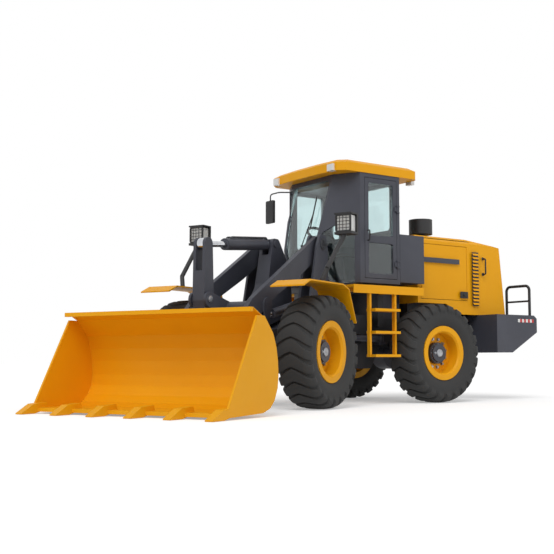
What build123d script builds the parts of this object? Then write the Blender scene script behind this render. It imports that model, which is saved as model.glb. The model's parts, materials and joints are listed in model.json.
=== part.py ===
"""Articulated wheel loader with a Z-bar bucket linkage, cab and engine hood.

Two local frames are used, both with their origin on the ground under the articulation pin, +X forward
and +Y to the left: the rear frame's, and the front frame's, which stands turned by STEER_REST.
"""

import math
import os

from build123d import *

# Driving dimensions, in millimetres and degrees

# Where the articulation pin stands, measured from the middle of the machine's footprint
PIVOT_X = -311
PIVOT_Y = -818

# Articulation
STEER_REST = 24.5
STEER_LIMIT = 38
PIN_RADIUS = 40
PIN_CLEARANCE = 0.06
HINGE_REACH = 125
HINGE_HALF_WIDTH = 120
HINGE_LEVELS = (560, 1060)
TONGUE_THICKNESS = 60
FORK_THICKNESS = 40
FORK_GAP = 6

# Wheels and axles
AXLE_FROM_PIN = 1420
TREAD = 1850
TYRE_RADIUS = 655
TYRE_WIDTH = 445
RIM_FLANGE_RADIUS = 357
RIM_SEAT_RADIUS = 318
RIM_WIDTH = 374
RIM_MOUTH_RADIUS = 268
DISC_THICKNESS = 26
HUB_RADIUS = 140
HUB_RECESS = 85
AXLE_TUBE_RADIUS = 115
AXLE_BOWL_RADIUS = 215
WHEEL_GAP = 6
SPINDLE_RADIUS = 62
SPINDLE_LENGTH = 120

# Rear frame
RAIL_Y = 330
RAIL_PLATE = 30
RAIL_BOTTOM = 800
RAIL_TOP = 1130
REAR_RAIL_FRONT = -380
CAB_MOUNT_TOP = 1480

# Hood
HOOD_FRONT = -1402
HOOD_BREAK = -2388
HOOD_REAR_TOP = -3018
HOOD_REAR_BOTTOM = -3130
HOOD_TOP = 2285
HOOD_TOP_REAR = 2195
HOOD_ARCH_TOP = 1345
HOOD_HALF_WIDTH = 640
HOOD_WALL = 30
HOOD_SHOULDER = 70
HOOD_DOOR_FRONT = -1462
HOOD_DOOR_REAR = -2352
HOOD_DOOR_BOTTOM = 1400
HOOD_DOOR_TOP = 2170
DOOR_GAP = 6
HINGE_STANDOFF = 14
HINGE_PIN = 7
KNUCKLE_RADIUS = 13
HOOD_HINGE_LEVELS = (1530, 2040)
CAB_HINGE_LEVELS = (1820, 2560)
GRILLE_HALF_WIDTH = 470
GRILLE_BOTTOM = 1330
GRILLE_TOP = 2080
GRILLE_BARS = 11

# Counterweight
WEIGHT_FRONT = -2560
WEIGHT_REAR = -3392
WEIGHT_HALF_WIDTH = 1000
WEIGHT_TOP = 1204
WEIGHT_BOTTOM = 669
HOOD_BOTTOM = WEIGHT_TOP
WEIGHT_RISE_START = -2870
WEIGHT_REAR_BOTTOM = 961
TOW_BORE_RADIUS = 27
TOW_PLATE_THICKNESS = 40
TOW_PLATE_Z = 985
TOW_PLATE_REACH = 130
TOW_PLATE_WIDTH = 210

# Cab
CAB_REAR = -950
CAB_SIDE = 790
CAB_CORNER = -270
CAB_BASE_Z = 1560
CAB_BELT_Z = 2050
CAB_TOP_Z = 3000
CAB_BASE_FRONT = 60
CAB_BELT_FRONT = 126
CAB_TOP_FRONT = -90
CAB_BASE_FRONT_HALF = 330
CAB_BELT_FRONT_HALF = 365
CAB_TOP_FRONT_HALF = 470
CAB_WALL = 50
GLASS_INSET = 18
GLASS_THICKNESS = 8
DOOR_REAR = -900
DOOR_FRONT = -345
DOOR_BOTTOM = 1620
DOOR_TOP = 2945
DOOR_FRAME = 62
DOOR_MID_BOTTOM = 2090
DOOR_MID_TOP = 2185
ROOF_REAR = -1290
ROOF_FRONT = 85
ROOF_HALF_WIDTH = 800
ROOF_TOP = 3155
ROOF_EDGE = 110

# Steering cylinders: pins in plan, and the pockets that the barrels swing into
STEER_REAR = (-900, 430)
STEER_FRONT = (300, 470)
STEER_Z = 850
STEER_PIN = 25
STEER_BARREL = 42
STEER_ROD = 24
STEER_BARREL_LENGTH = 735
STEER_ROD_LENGTH = 760
STEER_POCKET_X = (-650, -330)
STEER_POCKET_Y = (230, 345)
STEER_POCKET_HALF = 62

# Boom linkage, in the front frame's plane
BOOM_PIVOT = (480, 2030)
BUCKET_PIN = (2700, 290)
LEVER_PIVOT = (2440, 1235)
LEVER_TOP = (2410, 1865)
LEVER_BOTTOM = (2300, 640)
LINK_PIN = (2745, 620)
TILT_ANCHOR = (985, 2003)
LIFT_ANCHOR = (560, 1330)
LIFT_EYE = (1770, 1065)
BOOM_SWING = 78
BUCKET_CROWD = 45
BUCKET_DUMP = 50
ARM_INNER = 380
ARM_OUTER = 440
TOWER_INNER = 350
TOWER_OUTER = 470
TOWER_PLATE = 30
CROSS_TUBE = (2030, 1140)
CROSS_TUBE_RADIUS = 88
LEVER_HALF = 80
FORK_HALF = 45
EYE_HALF = 39
SIDE_GAP = 8
LEVER_TOP_SLOT = 310
LEVER_BOTTOM_SLOT = 450
LEVER_END = 75
LEVER_WAIST = 95
LEVER_WAIST_BACK = 37
LINK_EYE = 60
LINK_PIN_RADIUS = 35
LUG_PLATE = 26

# Bucket
BUCKET_HALF_WIDTH = 1240
BUCKET_TIP = 3990
BUCKET_EDGE = 3760
BUCKET_TOP = (3275, 1080)
BUCKET_REAR = 2832
BUCKET_SHEET = 20
BUCKET_SIDE = 24
BUCKET_FLOOR_Z = 42
TOOTH_COUNT = 6
TOOTH_WIDTH = 90

REAR = Location((PIVOT_X, PIVOT_Y, 0))
FRONT = Location((PIVOT_X, PIVOT_Y, 0), (0, 0, STEER_REST))


def block(x, y, z):
    """Box from three (low, high) ranges."""
    size = [high - low for low, high in (x, y, z)]
    centre = [(high + low) / 2 for low, high in (x, y, z)]
    return Pos(*centre) * Box(*size)


def outline(points, radii):
    """Closed outline through the points, its corners rounded by one radius or by a list of them."""
    if radii == 0:
        return Polyline(*points, close=True)
    return FilletPolyline(*points, radius=radii, close=True)


def slab(points, y, radii=0):
    """Side-view outline of (x, z) points, thick along Y from y[0] to y[1]."""
    plane = Plane(origin=(0, y[1], 0), x_dir=(1, 0, 0), z_dir=(0, -1, 0))
    return extrude(plane * make_face(outline(points, radii)), amount=y[1] - y[0], dir=(0, -1, 0))


def plate(points, z, radii=0):
    """Plan-view outline of (x, y) points, thick along Z from z[0] to z[1]."""
    return extrude(Pos(0, 0, z[0]) * make_face(outline(points, radii)), amount=z[1] - z[0], dir=(0, 0, 1))


def wall(points, x, radii=0):
    """Front-view outline of (y, z) points, thick along X from x[0] to x[1]."""
    plane = Plane(origin=(x[0], 0, 0), x_dir=(0, 1, 0), z_dir=(1, 0, 0))
    return extrude(plane * make_face(outline(points, radii)), amount=x[1] - x[0], dir=(1, 0, 0))


def cross_pin(point, radius, y):
    """Round bar along Y through an (x, z) point, from y[0] to y[1]."""
    return Pos(point[0], (y[0] + y[1]) / 2, point[1]) * Rot(90, 0, 0) * Cylinder(radius, y[1] - y[0])


def upright(x, y, radius, z):
    """Round bar along Z at (x, y), from z[0] to z[1]."""
    return Pos(x, y, (z[0] + z[1]) / 2) * Cylinder(radius, z[1] - z[0])


def bar(start, end, radius):
    """Round bar from one point to another."""
    start, end = Vector(*start), Vector(*end)
    plane = Plane(origin=start, z_dir=end - start)
    return extrude(plane * Circle(radius), amount=(end - start).length)


def tube_rail(points, radius, bend):
    """Bent round tube along the points, with the same bend at each corner."""
    path = FilletPolyline(*points, radius=bend)
    start = Plane(origin=path @ 0, z_dir=path % 0)
    return sweep(start * Circle(radius), path=path)


def both_sides(part):
    """The part and its mirror image across the machine's middle plane, as separate solids."""
    return Compound(children=[*part.solids(), *mirror(part, about=Plane.XZ).solids()])


def along(start, end):
    """Unit direction and length from one (x, z) point to another."""
    dx, dz = end[0] - start[0], end[1] - start[1]
    length = math.hypot(dx, dz)
    return (dx / length, dz / length), length


def door_hinges(x, side, toward, levels):
    """Fixed ears with their pins, and moving knuckles, of a door that runs from the hinge line towards +X or -X."""
    axis_y = side[0] * (side[1] + HINGE_STANDOFF)
    face_y = side[0] * side[1]
    fixed, moving = [], []
    for level in levels:
        knuckle_z = (level - 30, level + 30)
        tab_y = sorted((face_y, axis_y))
        tab_x = sorted((x, x + toward * 45))
        knuckle = upright(x, axis_y, KNUCKLE_RADIUS, knuckle_z) + block(tab_x, tab_y, knuckle_z)
        moving.append(knuckle - upright(x, axis_y, HINGE_PIN + PIN_CLEARANCE, knuckle_z))
        ears = upright(x, axis_y, HINGE_PIN, (level - 52, level + 52))
        ear_x = sorted((x, x - toward * 45))
        for ear_z in ((level - 52, level - 33), (level + 33, level + 52)):
            ears = ears + upright(x, axis_y, KNUCKLE_RADIUS, ear_z) + block(ear_x, tab_y, ear_z)
        fixed.append(ears)
    return fixed, moving


# Wheels and axles

def tyre_profile():
    """Half section of the tyre, as (radius, offset) points round the rim's seat and out to the lugs' tips."""
    half = TYRE_WIDTH / 2
    seat_half = RIM_WIDTH / 2 - 30
    shoulder = half - 45
    return [
        (RIM_SEAT_RADIUS, -seat_half + 1), (RIM_SEAT_RADIUS + 60, -seat_half - 5),
        (RIM_SEAT_RADIUS + 165, -half), (TYRE_RADIUS - 70, -half + 12), (TYRE_RADIUS - 14, -shoulder),
        (TYRE_RADIUS, -shoulder + 60), (TYRE_RADIUS, shoulder - 60), (TYRE_RADIUS - 14, shoulder),
        (TYRE_RADIUS - 70, half - 12), (RIM_SEAT_RADIUS + 165, half),
        (RIM_SEAT_RADIUS + 60, seat_half + 5), (RIM_SEAT_RADIUS, seat_half - 1),
    ]


def turned(profile, radii=0):
    """Solid of (radius, offset) points turned about the Y axis."""
    return revolve(make_face(outline(profile, radii)), axis=Axis.Y)


def rim_profile():
    """Section of the deep-dished rim: flanges, well and disc."""
    half = RIM_WIDTH / 2
    seat = RIM_SEAT_RADIUS - 1
    wall_inner = RIM_MOUTH_RADIUS
    disc_face = half - HUB_RECESS - 95
    return [
        (HUB_RADIUS + 1, disc_face - DISC_THICKNESS), (wall_inner, disc_face - DISC_THICKNESS),
        (wall_inner, -half), (RIM_FLANGE_RADIUS, -half), (RIM_FLANGE_RADIUS, -half + 24),
        (seat, -half + 30), (seat, half - 30), (RIM_FLANGE_RADIUS, half - 24),
        (RIM_FLANGE_RADIUS, half), (wall_inner + 20, half), (wall_inner, half - 24),
        (wall_inner, disc_face), (HUB_RADIUS + 1, disc_face),
    ]


def hub():
    """Planetary hub that stands out of the disc towards the rim's mouth."""
    face = RIM_WIDTH / 2 - HUB_RECESS
    flange = face - 95
    inner = flange - DISC_THICKNESS - 60
    bore = SPINDLE_RADIUS + PIN_CLEARANCE
    bottom = inner + SPINDLE_LENGTH
    profile = [
        (bore, inner), (HUB_RADIUS, inner), (HUB_RADIUS, face - 30), (HUB_RADIUS - 18, face - 30),
        (HUB_RADIUS - 22, face), (0, face), (0, bottom), (bore, bottom),
    ]
    return turned(profile)


def wheel(x, side):
    """Tyre, rim and hub of one wheel, standing on the ground at x on one side."""
    place = Pos(x, side * TREAD / 2, TYRE_RADIUS)
    if side < 0:
        place = place * Rot(0, 0, 180)
    return {"tyre": place * turned(tyre_profile()), "rim": place * turned(rim_profile()), "hub": place * hub()}


def axle(x):
    """Banjo housing with its tubes, whose ends stop inside the hubs' mouths."""
    end = TREAD / 2 + RIM_WIDTH / 2 - HUB_RECESS - 95 - DISC_THICKNESS - 60 - WHEEL_GAP
    tube = cross_pin((x, TYRE_RADIUS), AXLE_TUBE_RADIUS, (-end, end))
    bowl = cross_pin((x, TYRE_RADIUS), AXLE_BOWL_RADIUS, (-130, 130))
    cone = 260
    flare = revolve(
        make_face(Polyline((0, -cone), (AXLE_TUBE_RADIUS, -cone), (AXLE_BOWL_RADIUS, -130), (AXLE_BOWL_RADIUS, 130),
                           (AXLE_TUBE_RADIUS, cone), (0, cone), close=True)),
        axis=Axis.Y,
    )
    spindles = cross_pin((x, TYRE_RADIUS), SPINDLE_RADIUS, (-end - SPINDLE_LENGTH, end + SPINDLE_LENGTH))
    return tube + bowl + spindles + Pos(x, 0, TYRE_RADIUS) * flare


# Articulation hinge

def hinge_plate(reach, z):
    """Hinge plate from a rounded end about the articulation pin to its root at x = reach."""
    half = HINGE_HALF_WIDTH
    end = -math.copysign(half, reach)
    points = [(end, -half), (reach, -half), (reach, half), (end, half)]
    return plate(points, z, [half - 1, 0, 0, half - 1])


def tongue(level, reach):
    """Front frame's hinge plate at one level, bored for the pin."""
    z = (level - TONGUE_THICKNESS / 2, level + TONGUE_THICKNESS / 2)
    return hinge_plate(reach, z) - upright(0, 0, PIN_RADIUS + PIN_CLEARANCE, z)


def fork(level, reach):
    """Rear frame's pair of hinge plates, above and below the tongue, with their pin."""
    inner = TONGUE_THICKNESS / 2 + FORK_GAP
    outer = inner + FORK_THICKNESS
    parts = upright(0, 0, PIN_RADIUS, (level - outer - 12, level + outer + 12))
    for low, high in ((-outer, -inner), (inner, outer)):
        parts = parts + hinge_plate(reach, (level + low, level + high))
    return parts


# Rear machine

def rear_frame():
    """Two side rails with cross plates, the hinge forks, the axle saddle and the cab's legs."""
    low_front = HINGE_LEVELS[0] - 110
    high_front = HINGE_LEVELS[1] + 110
    rail = slab(
        [(REAR_RAIL_FRONT, low_front), (REAR_RAIL_FRONT, high_front), (-700, high_front), (-800, RAIL_TOP),
         (WEIGHT_FRONT, RAIL_TOP), (WEIGHT_FRONT, RAIL_BOTTOM), (-1000, RAIL_BOTTOM), (-820, low_front)],
        (RAIL_Y - RAIL_PLATE, RAIL_Y),
    )
    rails = rail + mirror(rail, about=Plane.XZ)
    nose = block((REAR_RAIL_FRONT, REAR_RAIL_FRONT + 40), (-RAIL_Y, RAIL_Y), (low_front, high_front))
    frame = rails + nose
    for level in HINGE_LEVELS:
        frame = frame + fork(level, REAR_RAIL_FRONT)
    for x in (-950, WEIGHT_FRONT + 40):
        frame = frame + block((x - 20, x + 20), (-RAIL_Y + RAIL_PLATE, RAIL_Y - RAIL_PLATE), (RAIL_BOTTOM, RAIL_TOP))
    axle_x = -AXLE_FROM_PIN
    for x in (-2370, axle_x + AXLE_BOWL_RADIUS + 40):
        frame = frame + block((x, x + 20), (-RAIL_Y + RAIL_PLATE, RAIL_Y - RAIL_PLATE), (RAIL_BOTTOM - 60, RAIL_TOP))
    for side in (-1, 1):
        inner, outer = sorted((side * (RAIL_Y - RAIL_PLATE), side * RAIL_Y))
        frame = frame + block((axle_x - 110, axle_x + 110), (inner, outer), (TYRE_RADIUS + AXLE_TUBE_RADIUS - 40, RAIL_BOTTOM))
        frame = frame - cross_pin((axle_x, TYRE_RADIUS), AXLE_TUBE_RADIUS + 0.3, (inner - 1, outer + 1))
        for x in (-170, -880):
            leg_inner, leg_outer = sorted((side * (RAIL_Y - RAIL_PLATE), side * 470))
            frame = frame + block((x - 50, x + 50), (leg_inner, leg_outer), (RAIL_TOP - 120, CAB_MOUNT_TOP))
    arm = block((REAR_RAIL_FRONT, -120), (RAIL_Y - RAIL_PLATE, 470), (high_front - 60, high_front))
    frame = frame + arm + mirror(arm, about=Plane.XZ)
    for side in (-1, 1):
        pocket_y = sorted((side * STEER_POCKET_Y[0], side * STEER_POCKET_Y[1]))
        pocket_z = (STEER_Z - STEER_POCKET_HALF, STEER_Z + STEER_POCKET_HALF)
        frame = frame - block(STEER_POCKET_X, pocket_y, pocket_z)
    return frame


def steer_brackets():
    """Pair of lugs with their pin on the outside of each rail, for the steering cylinders' rear eyes."""
    x = (STEER_REAR[0] - 60, STEER_REAR[0] + 60)
    y = (RAIL_Y, STEER_REAR[1] + 60)
    bracket = upright(STEER_REAR[0], STEER_REAR[1], STEER_PIN, (STEER_Z - 85, STEER_Z + 85))
    for low, high in ((STEER_Z - 75, STEER_Z - 45), (STEER_Z + 45, STEER_Z + 75)):
        bracket = bracket + block(x, y, (low, high))
    return both_sides(bracket)


def hood_section():
    """Side-view outline of the hood, with the wheel arch cut into its lower edge."""
    return [
        (HOOD_FRONT, HOOD_ARCH_TOP), (HOOD_FRONT, HOOD_TOP), (HOOD_BREAK, HOOD_TOP), (HOOD_REAR_TOP, HOOD_TOP_REAR),
        (HOOD_REAR_BOTTOM, HOOD_BOTTOM), (HOOD_DOOR_REAR + 100, HOOD_BOTTOM), (HOOD_DOOR_REAR + 420, HOOD_ARCH_TOP),
    ]


def hood_mass(inset):
    """Hood's outer form, taken in by an inset on its sides, ends and top."""
    half = HOOD_HALF_WIDTH - inset
    body = slab(hood_section(), (-half, half))
    shoulder = max(HOOD_SHOULDER - inset, 5)
    keep = [(-half, HOOD_BOTTOM - 50), (-half, HOOD_TOP - inset - shoulder), (-half + shoulder, HOOD_TOP - inset),
            (half - shoulder, HOOD_TOP - inset), (half, HOOD_TOP - inset - shoulder), (half, HOOD_BOTTOM - 50)]
    return body & wall(keep, (HOOD_REAR_BOTTOM + inset, HOOD_FRONT - inset))


def hood():
    """Engine hood: a folded shell, open below, with the side doors' and the grille's openings."""
    shell = hood_mass(0)
    cavity = slab(
        [(HOOD_FRONT - HOOD_WALL, HOOD_BOTTOM - 60), (HOOD_FRONT - HOOD_WALL, HOOD_TOP - HOOD_WALL),
         (HOOD_BREAK, HOOD_TOP - HOOD_WALL), (HOOD_REAR_TOP + HOOD_WALL, HOOD_TOP_REAR - HOOD_WALL),
         (HOOD_REAR_BOTTOM + HOOD_WALL, HOOD_BOTTOM - 60)],
        (-HOOD_HALF_WIDTH + HOOD_WALL, HOOD_HALF_WIDTH - HOOD_WALL),
    )
    shell = shell - cavity
    for side in (-1, 1):
        y = sorted((side * (HOOD_HALF_WIDTH - HOOD_WALL - 20), side * (HOOD_HALF_WIDTH + 20)))
        shell = shell - block((HOOD_DOOR_REAR, HOOD_DOOR_FRONT), y, (HOOD_DOOR_BOTTOM, HOOD_DOOR_TOP))
        for ears in hood_hinges(side)[0]:
            shell = shell + ears
    return shell - block((HOOD_REAR_BOTTOM - 50, HOOD_REAR_TOP + 60), (-GRILLE_HALF_WIDTH, GRILLE_HALF_WIDTH),
                         (GRILLE_BOTTOM, GRILLE_TOP))


def hood_hinges(side):
    """Hinges at the front edge of one engine side door."""
    return door_hinges(HOOD_DOOR_FRONT - DOOR_GAP / 2, (side, HOOD_HALF_WIDTH), -1, HOOD_HINGE_LEVELS)


def hood_door(side):
    """Engine side door, flush with the hood's wall and hinged at its front edge."""
    y = sorted((side * (HOOD_HALF_WIDTH - HOOD_WALL), side * HOOD_HALF_WIDTH))
    door = block((HOOD_DOOR_REAR + DOOR_GAP, HOOD_DOOR_FRONT - DOOR_GAP), y,
                 (HOOD_DOOR_BOTTOM + DOOR_GAP, HOOD_DOOR_TOP - DOOR_GAP))
    for knuckle in hood_hinges(side)[1]:
        door = door + knuckle
    return door


def rear_slope_x(z):
    """X of the hood's raked rear face at a height."""
    share = (z - HOOD_BOTTOM) / (HOOD_TOP_REAR - HOOD_BOTTOM)
    return HOOD_REAR_BOTTOM + share * (HOOD_REAR_TOP - HOOD_REAR_BOTTOM)


def rear_grille():
    """Frame and bars that fill the hood's rear opening, with the cooler core behind them."""
    frame_points = [(rear_slope_x(z) + dx, z) for z, dx in
                    ((GRILLE_BOTTOM, 4), (GRILLE_TOP, 4), (GRILLE_TOP, 30), (GRILLE_BOTTOM, 30))]
    panel = slab(frame_points, (-GRILLE_HALF_WIDTH, GRILLE_HALF_WIDTH))
    border = 40
    pitch = (GRILLE_TOP - GRILLE_BOTTOM - 2 * border) / GRILLE_BARS
    for index in range(GRILLE_BARS):
        low = GRILLE_BOTTOM + border + index * pitch
        panel = panel - block((HOOD_REAR_BOTTOM - 50, HOOD_REAR_TOP + 80),
                              (-GRILLE_HALF_WIDTH + border, GRILLE_HALF_WIDTH - border), (low, low + pitch * 0.6))
    return panel


def engine_block():
    """Engine and cooler as plain masses on the rails."""
    engine = block((-2250, -1520), (-RAIL_Y + RAIL_PLATE, RAIL_Y - RAIL_PLATE), (RAIL_BOTTOM + 110, 1880))
    cooler = block((-2960, -2830), (-GRILLE_HALF_WIDTH, GRILLE_HALF_WIDTH), (WEIGHT_TOP, GRILLE_TOP - 20))
    return Compound(children=[*engine.solids(), *cooler.solids()])


def counterweight():
    """Cast rear weight with a raked underside and the towing plate."""
    body = slab(
        [(WEIGHT_FRONT, WEIGHT_BOTTOM), (WEIGHT_FRONT, WEIGHT_TOP), (WEIGHT_REAR + 60, WEIGHT_TOP),
         (WEIGHT_REAR, WEIGHT_TOP - 45), (WEIGHT_REAR, WEIGHT_REAR_BOTTOM), (WEIGHT_RISE_START, WEIGHT_BOTTOM)],
        (-WEIGHT_HALF_WIDTH, WEIGHT_HALF_WIDTH),
    )
    z = (TOW_PLATE_Z, TOW_PLATE_Z + TOW_PLATE_THICKNESS)
    half = TOW_PLATE_WIDTH / 2
    end = WEIGHT_REAR - TOW_PLATE_REACH
    tow = plate([(WEIGHT_REAR + 20, -half), (WEIGHT_REAR + 20, half), (end, half), (end, -half)], z, [0, 0, 70, 70])
    hole = upright(WEIGHT_REAR - TOW_PLATE_REACH / 2, 0, TOW_BORE_RADIUS, (z[0] - 1, z[1] + 1))
    return body + tow - hole


def rear_rails():
    """Guard rail on each rear corner of the counterweight."""
    x = WEIGHT_REAR + 95
    inner, outer, top = 525, 955, 1640
    hoop = tube_rail([(x, inner, WEIGHT_TOP), (x, inner, top), (x, outer, top), (x, outer, WEIGHT_TOP)], 20, 70)
    mid = bar((x, inner, 1415), (x, outer, 1415), 14)
    return both_sides(hoop + mid)


def cab_ring(z, inset):
    """Six-sided plan of the cab at a height, taken in by an inset."""
    if z <= CAB_BELT_Z:
        share = (z - CAB_BASE_Z) / (CAB_BELT_Z - CAB_BASE_Z)
        front = CAB_BASE_FRONT + share * (CAB_BELT_FRONT - CAB_BASE_FRONT)
        half = CAB_BASE_FRONT_HALF + share * (CAB_BELT_FRONT_HALF - CAB_BASE_FRONT_HALF)
    else:
        share = (z - CAB_BELT_Z) / (CAB_TOP_Z - CAB_BELT_Z)
        front = CAB_BELT_FRONT + share * (CAB_TOP_FRONT - CAB_BELT_FRONT)
        half = CAB_BELT_FRONT_HALF + share * (CAB_TOP_FRONT_HALF - CAB_BELT_FRONT_HALF)
    side = CAB_SIDE - inset
    corner = CAB_CORNER - 0.35 * inset
    right = [(CAB_REAR + inset, -side), (corner, -side), (front - inset, -half + 0.5 * inset)]
    return right + [(x, -y) for x, y in reversed(right)]


def cab_form(low, high, inset):
    """Cab's closed form between two heights, taken in by an inset."""
    levels = [low] + ([CAB_BELT_Z] if low < CAB_BELT_Z < high else []) + [high]
    form = None
    for bottom, top in zip(levels, levels[1:]):
        faces = [Pos(0, 0, z) * make_face(Polyline(*cab_ring(z, inset), close=True)) for z in (bottom, top)]
        piece = loft(faces, ruled=True)
        form = piece if form is None else form + piece
    return form


def quarter_plane(side):
    """Plane on the cab's slanting front corner pane, local X along the pane, local Y up, normal outwards."""
    corner = Vector(CAB_CORNER, side * CAB_SIDE, CAB_BELT_Z)
    front = Vector(CAB_BELT_FRONT, side * CAB_BELT_FRONT_HALF, CAB_BELT_Z)
    direction = (front - corner).normalized()
    normal = Vector(0, 0, 1).cross(direction) * side
    return Plane(origin=(corner + front) * 0.5, x_dir=direction, z_dir=normal)


def windscreen_cutter(margin):
    """Body that cuts the windscreen's opening, shrunk by a margin."""
    low, high = 1720 + margin, 2930 - margin
    bottom, top = 300 - margin, 415 - margin
    points = [(-bottom, low), (bottom, low), (top, high), (-top, high)]
    return wall(points, (CAB_TOP_FRONT - 140, CAB_BELT_FRONT + 60), [40, 40, 70, 70])


def quarter_cutter(side, margin):
    """Body that cuts a front corner pane's opening, with its slanting lower edge."""
    half = 215 - margin
    up, down = 880 - margin, -170 + margin
    rear_down = -410 + margin
    points = [(-half, rear_down), (half, down), (half - 40, up), (-half, up)]
    face = make_face(outline(points, 35))
    return extrude(quarter_plane(side) * face, amount=260, both=True)


def side_cutter(side, x, z, margin):
    """Body that cuts an opening through one side wall."""
    y = sorted((side * (CAB_SIDE - CAB_WALL - 40), side * (CAB_SIDE + 40)))
    points = [(x[0] + margin, z[0] + margin), (x[1] - margin, z[0] + margin),
              (x[1] - margin, z[1] - margin), (x[0] + margin, z[1] - margin)]
    return slab(points, y, 40)


def rear_cutter(margin):
    """Body that cuts the rear window's opening."""
    half, low, high = 640 - margin, 2300 + margin, 2900 - margin
    return wall([(-half, low), (half, low), (half, high), (-half, high)], (CAB_REAR - 60, CAB_REAR + CAB_WALL + 60), 50)


SIDE_WINDOW_X = (DOOR_REAR + 60, DOOR_FRONT - 30)
SIDE_WINDOW_Z = (2130, 2910)


def cab_shell():
    """Cab's welded shell: floor, pillars, walls and ceiling, hollow, with every window and the doorway cut."""
    shell = cab_form(CAB_BASE_Z, CAB_TOP_Z, 0) - cab_form(CAB_BASE_Z + CAB_WALL, CAB_TOP_Z - CAB_WALL, CAB_WALL)
    shell = shell - windscreen_cutter(0) - rear_cutter(0)
    for side in (-1, 1):
        shell = shell - quarter_cutter(side, 0)
    shell = shell - side_cutter(-1, SIDE_WINDOW_X, SIDE_WINDOW_Z, 0)
    doorway = block((DOOR_REAR, DOOR_FRONT), (CAB_SIDE - CAB_WALL - 60, CAB_SIDE + 40), (DOOR_BOTTOM, DOOR_TOP))
    shell = shell - doorway
    for ears in cab_hinges()[0]:
        shell = shell + ears
    return shell


def cab_glass():
    """Fixed panes, each let into its opening."""
    pane = cab_form(CAB_BASE_Z, CAB_TOP_Z, GLASS_INSET) - cab_form(CAB_BASE_Z - 1, CAB_TOP_Z + 1, GLASS_INSET + GLASS_THICKNESS)
    cutters = [windscreen_cutter(0.3), rear_cutter(0.3), quarter_cutter(1, 0.3), quarter_cutter(-1, 0.3),
               side_cutter(-1, SIDE_WINDOW_X, SIDE_WINDOW_Z, 0.3)]
    solids = []
    for cutter in cutters:
        solids.extend((pane & cutter).solids())
    return Compound(children=solids)


def cab_hinges():
    """Hinges at the rear edge of the cab door."""
    return door_hinges(DOOR_REAR + DOOR_GAP / 2, (1, CAB_SIDE), 1, CAB_HINGE_LEVELS)


def cab_door():
    """Door frame as thick as the cab's wall, with its upper and lower windows cut."""
    x = (DOOR_REAR + DOOR_GAP, DOOR_FRONT - DOOR_GAP)
    y = (CAB_SIDE - CAB_WALL, CAB_SIDE)
    z = (DOOR_BOTTOM + DOOR_GAP, DOOR_TOP - DOOR_GAP)
    door = block(x, y, z)
    for low, high in door_windows():
        door = door - slab([(x[0] + DOOR_FRAME, low), (x[1] - DOOR_FRAME, low), (x[1] - DOOR_FRAME, high),
                            (x[0] + DOOR_FRAME, high)], (y[0] - 1, y[1] + 1), 30)
    for knuckle in cab_hinges()[1]:
        door = door + knuckle
    return door


def door_windows():
    """Heights of the door's two panes."""
    return ((DOOR_BOTTOM + DOOR_GAP + DOOR_FRAME, DOOR_MID_BOTTOM), (DOOR_MID_TOP, DOOR_TOP - DOOR_GAP - DOOR_FRAME))


def door_glass():
    """The door's two panes."""
    x = (DOOR_REAR + DOOR_GAP + DOOR_FRAME + 0.3, DOOR_FRONT - DOOR_GAP - DOOR_FRAME - 0.3)
    y = (CAB_SIDE - GLASS_INSET - GLASS_THICKNESS, CAB_SIDE - GLASS_INSET)
    solids = []
    for low, high in door_windows():
        pane = slab([(x[0], low + 0.3), (x[1], low + 0.3), (x[1], high - 0.3), (x[0], high - 0.3)], y, 30)
        solids.extend(pane.solids())
    return Compound(children=solids)


def cab_roof():
    """Roof cap with a chamfered crown that overhangs the cab on all sides."""
    half = ROOF_HALF_WIDTH
    right = [(ROOF_REAR, -half + 60), (ROOF_REAR + 60, -half), (ROOF_FRONT - 130, -half), (ROOF_FRONT - 30, -half + 90),
             (ROOF_FRONT, -300)]
    plan = right + [(x, -y) for x, y in reversed(right)]
    edge = plate(plan, (CAB_TOP_Z, CAB_TOP_Z + ROOF_EDGE), 30)
    crown_in = 70
    crown_plan = [(x - crown_in if x > -600 else x + crown_in, y + crown_in if y < 0 else y - crown_in) for x, y in plan]
    low = Pos(0, 0, CAB_TOP_Z + ROOF_EDGE) * make_face(Polyline(*plan, close=True))
    high = Pos(0, 0, ROOF_TOP) * make_face(Polyline(*crown_plan, close=True))
    roof = edge + loft([low, high], ruled=True)
    for solid in front_roof_lamps(CAB_TOP_Z - 10).solids():
        roof = roof - solid
    return roof


def cab_floor_mount():
    """Cross beams between the frame's legs and the cab's floor."""
    beams = [block((x - 70, x + 70), (-620, 620), (CAB_MOUNT_TOP, CAB_BASE_Z)) for x in (-170, -880)]
    return Compound(children=[solid for beam in beams for solid in beam.solids()])


def hydraulic_tank():
    """Transverse tank between the cab and the hood, on the rails."""
    return block((HOOD_FRONT + 8, CAB_REAR - 12), (-CAB_SIDE + 10, CAB_SIDE - 10), (1590, 2235)) + block(
        (HOOD_FRONT + 60, CAB_REAR - 60), (-RAIL_Y, RAIL_Y), (RAIL_TOP, 1600))


def precleaner():
    """Air intake bowl standing on the hood."""
    x, y, radius = -1760, 330, 165
    stem = upright(x, y, 60, (HOOD_TOP, HOOD_TOP + 60))
    bowl = upright(x, y, radius, (HOOD_TOP + 50, HOOD_TOP + 260))
    return stem + bowl


def seat():
    """Operator's seat: base, cushion and back."""
    base = block((-760, -480), (-170, 170), (CAB_BASE_Z + CAB_WALL, 1960))
    cushion = block((-800, -330), (-240, 240), (1960, 2080))
    back = slab([(-800, 2080), (-690, 2080), (-790, 2700), (-880, 2700)], (-230, 230), 30)
    return base + cushion + back


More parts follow.
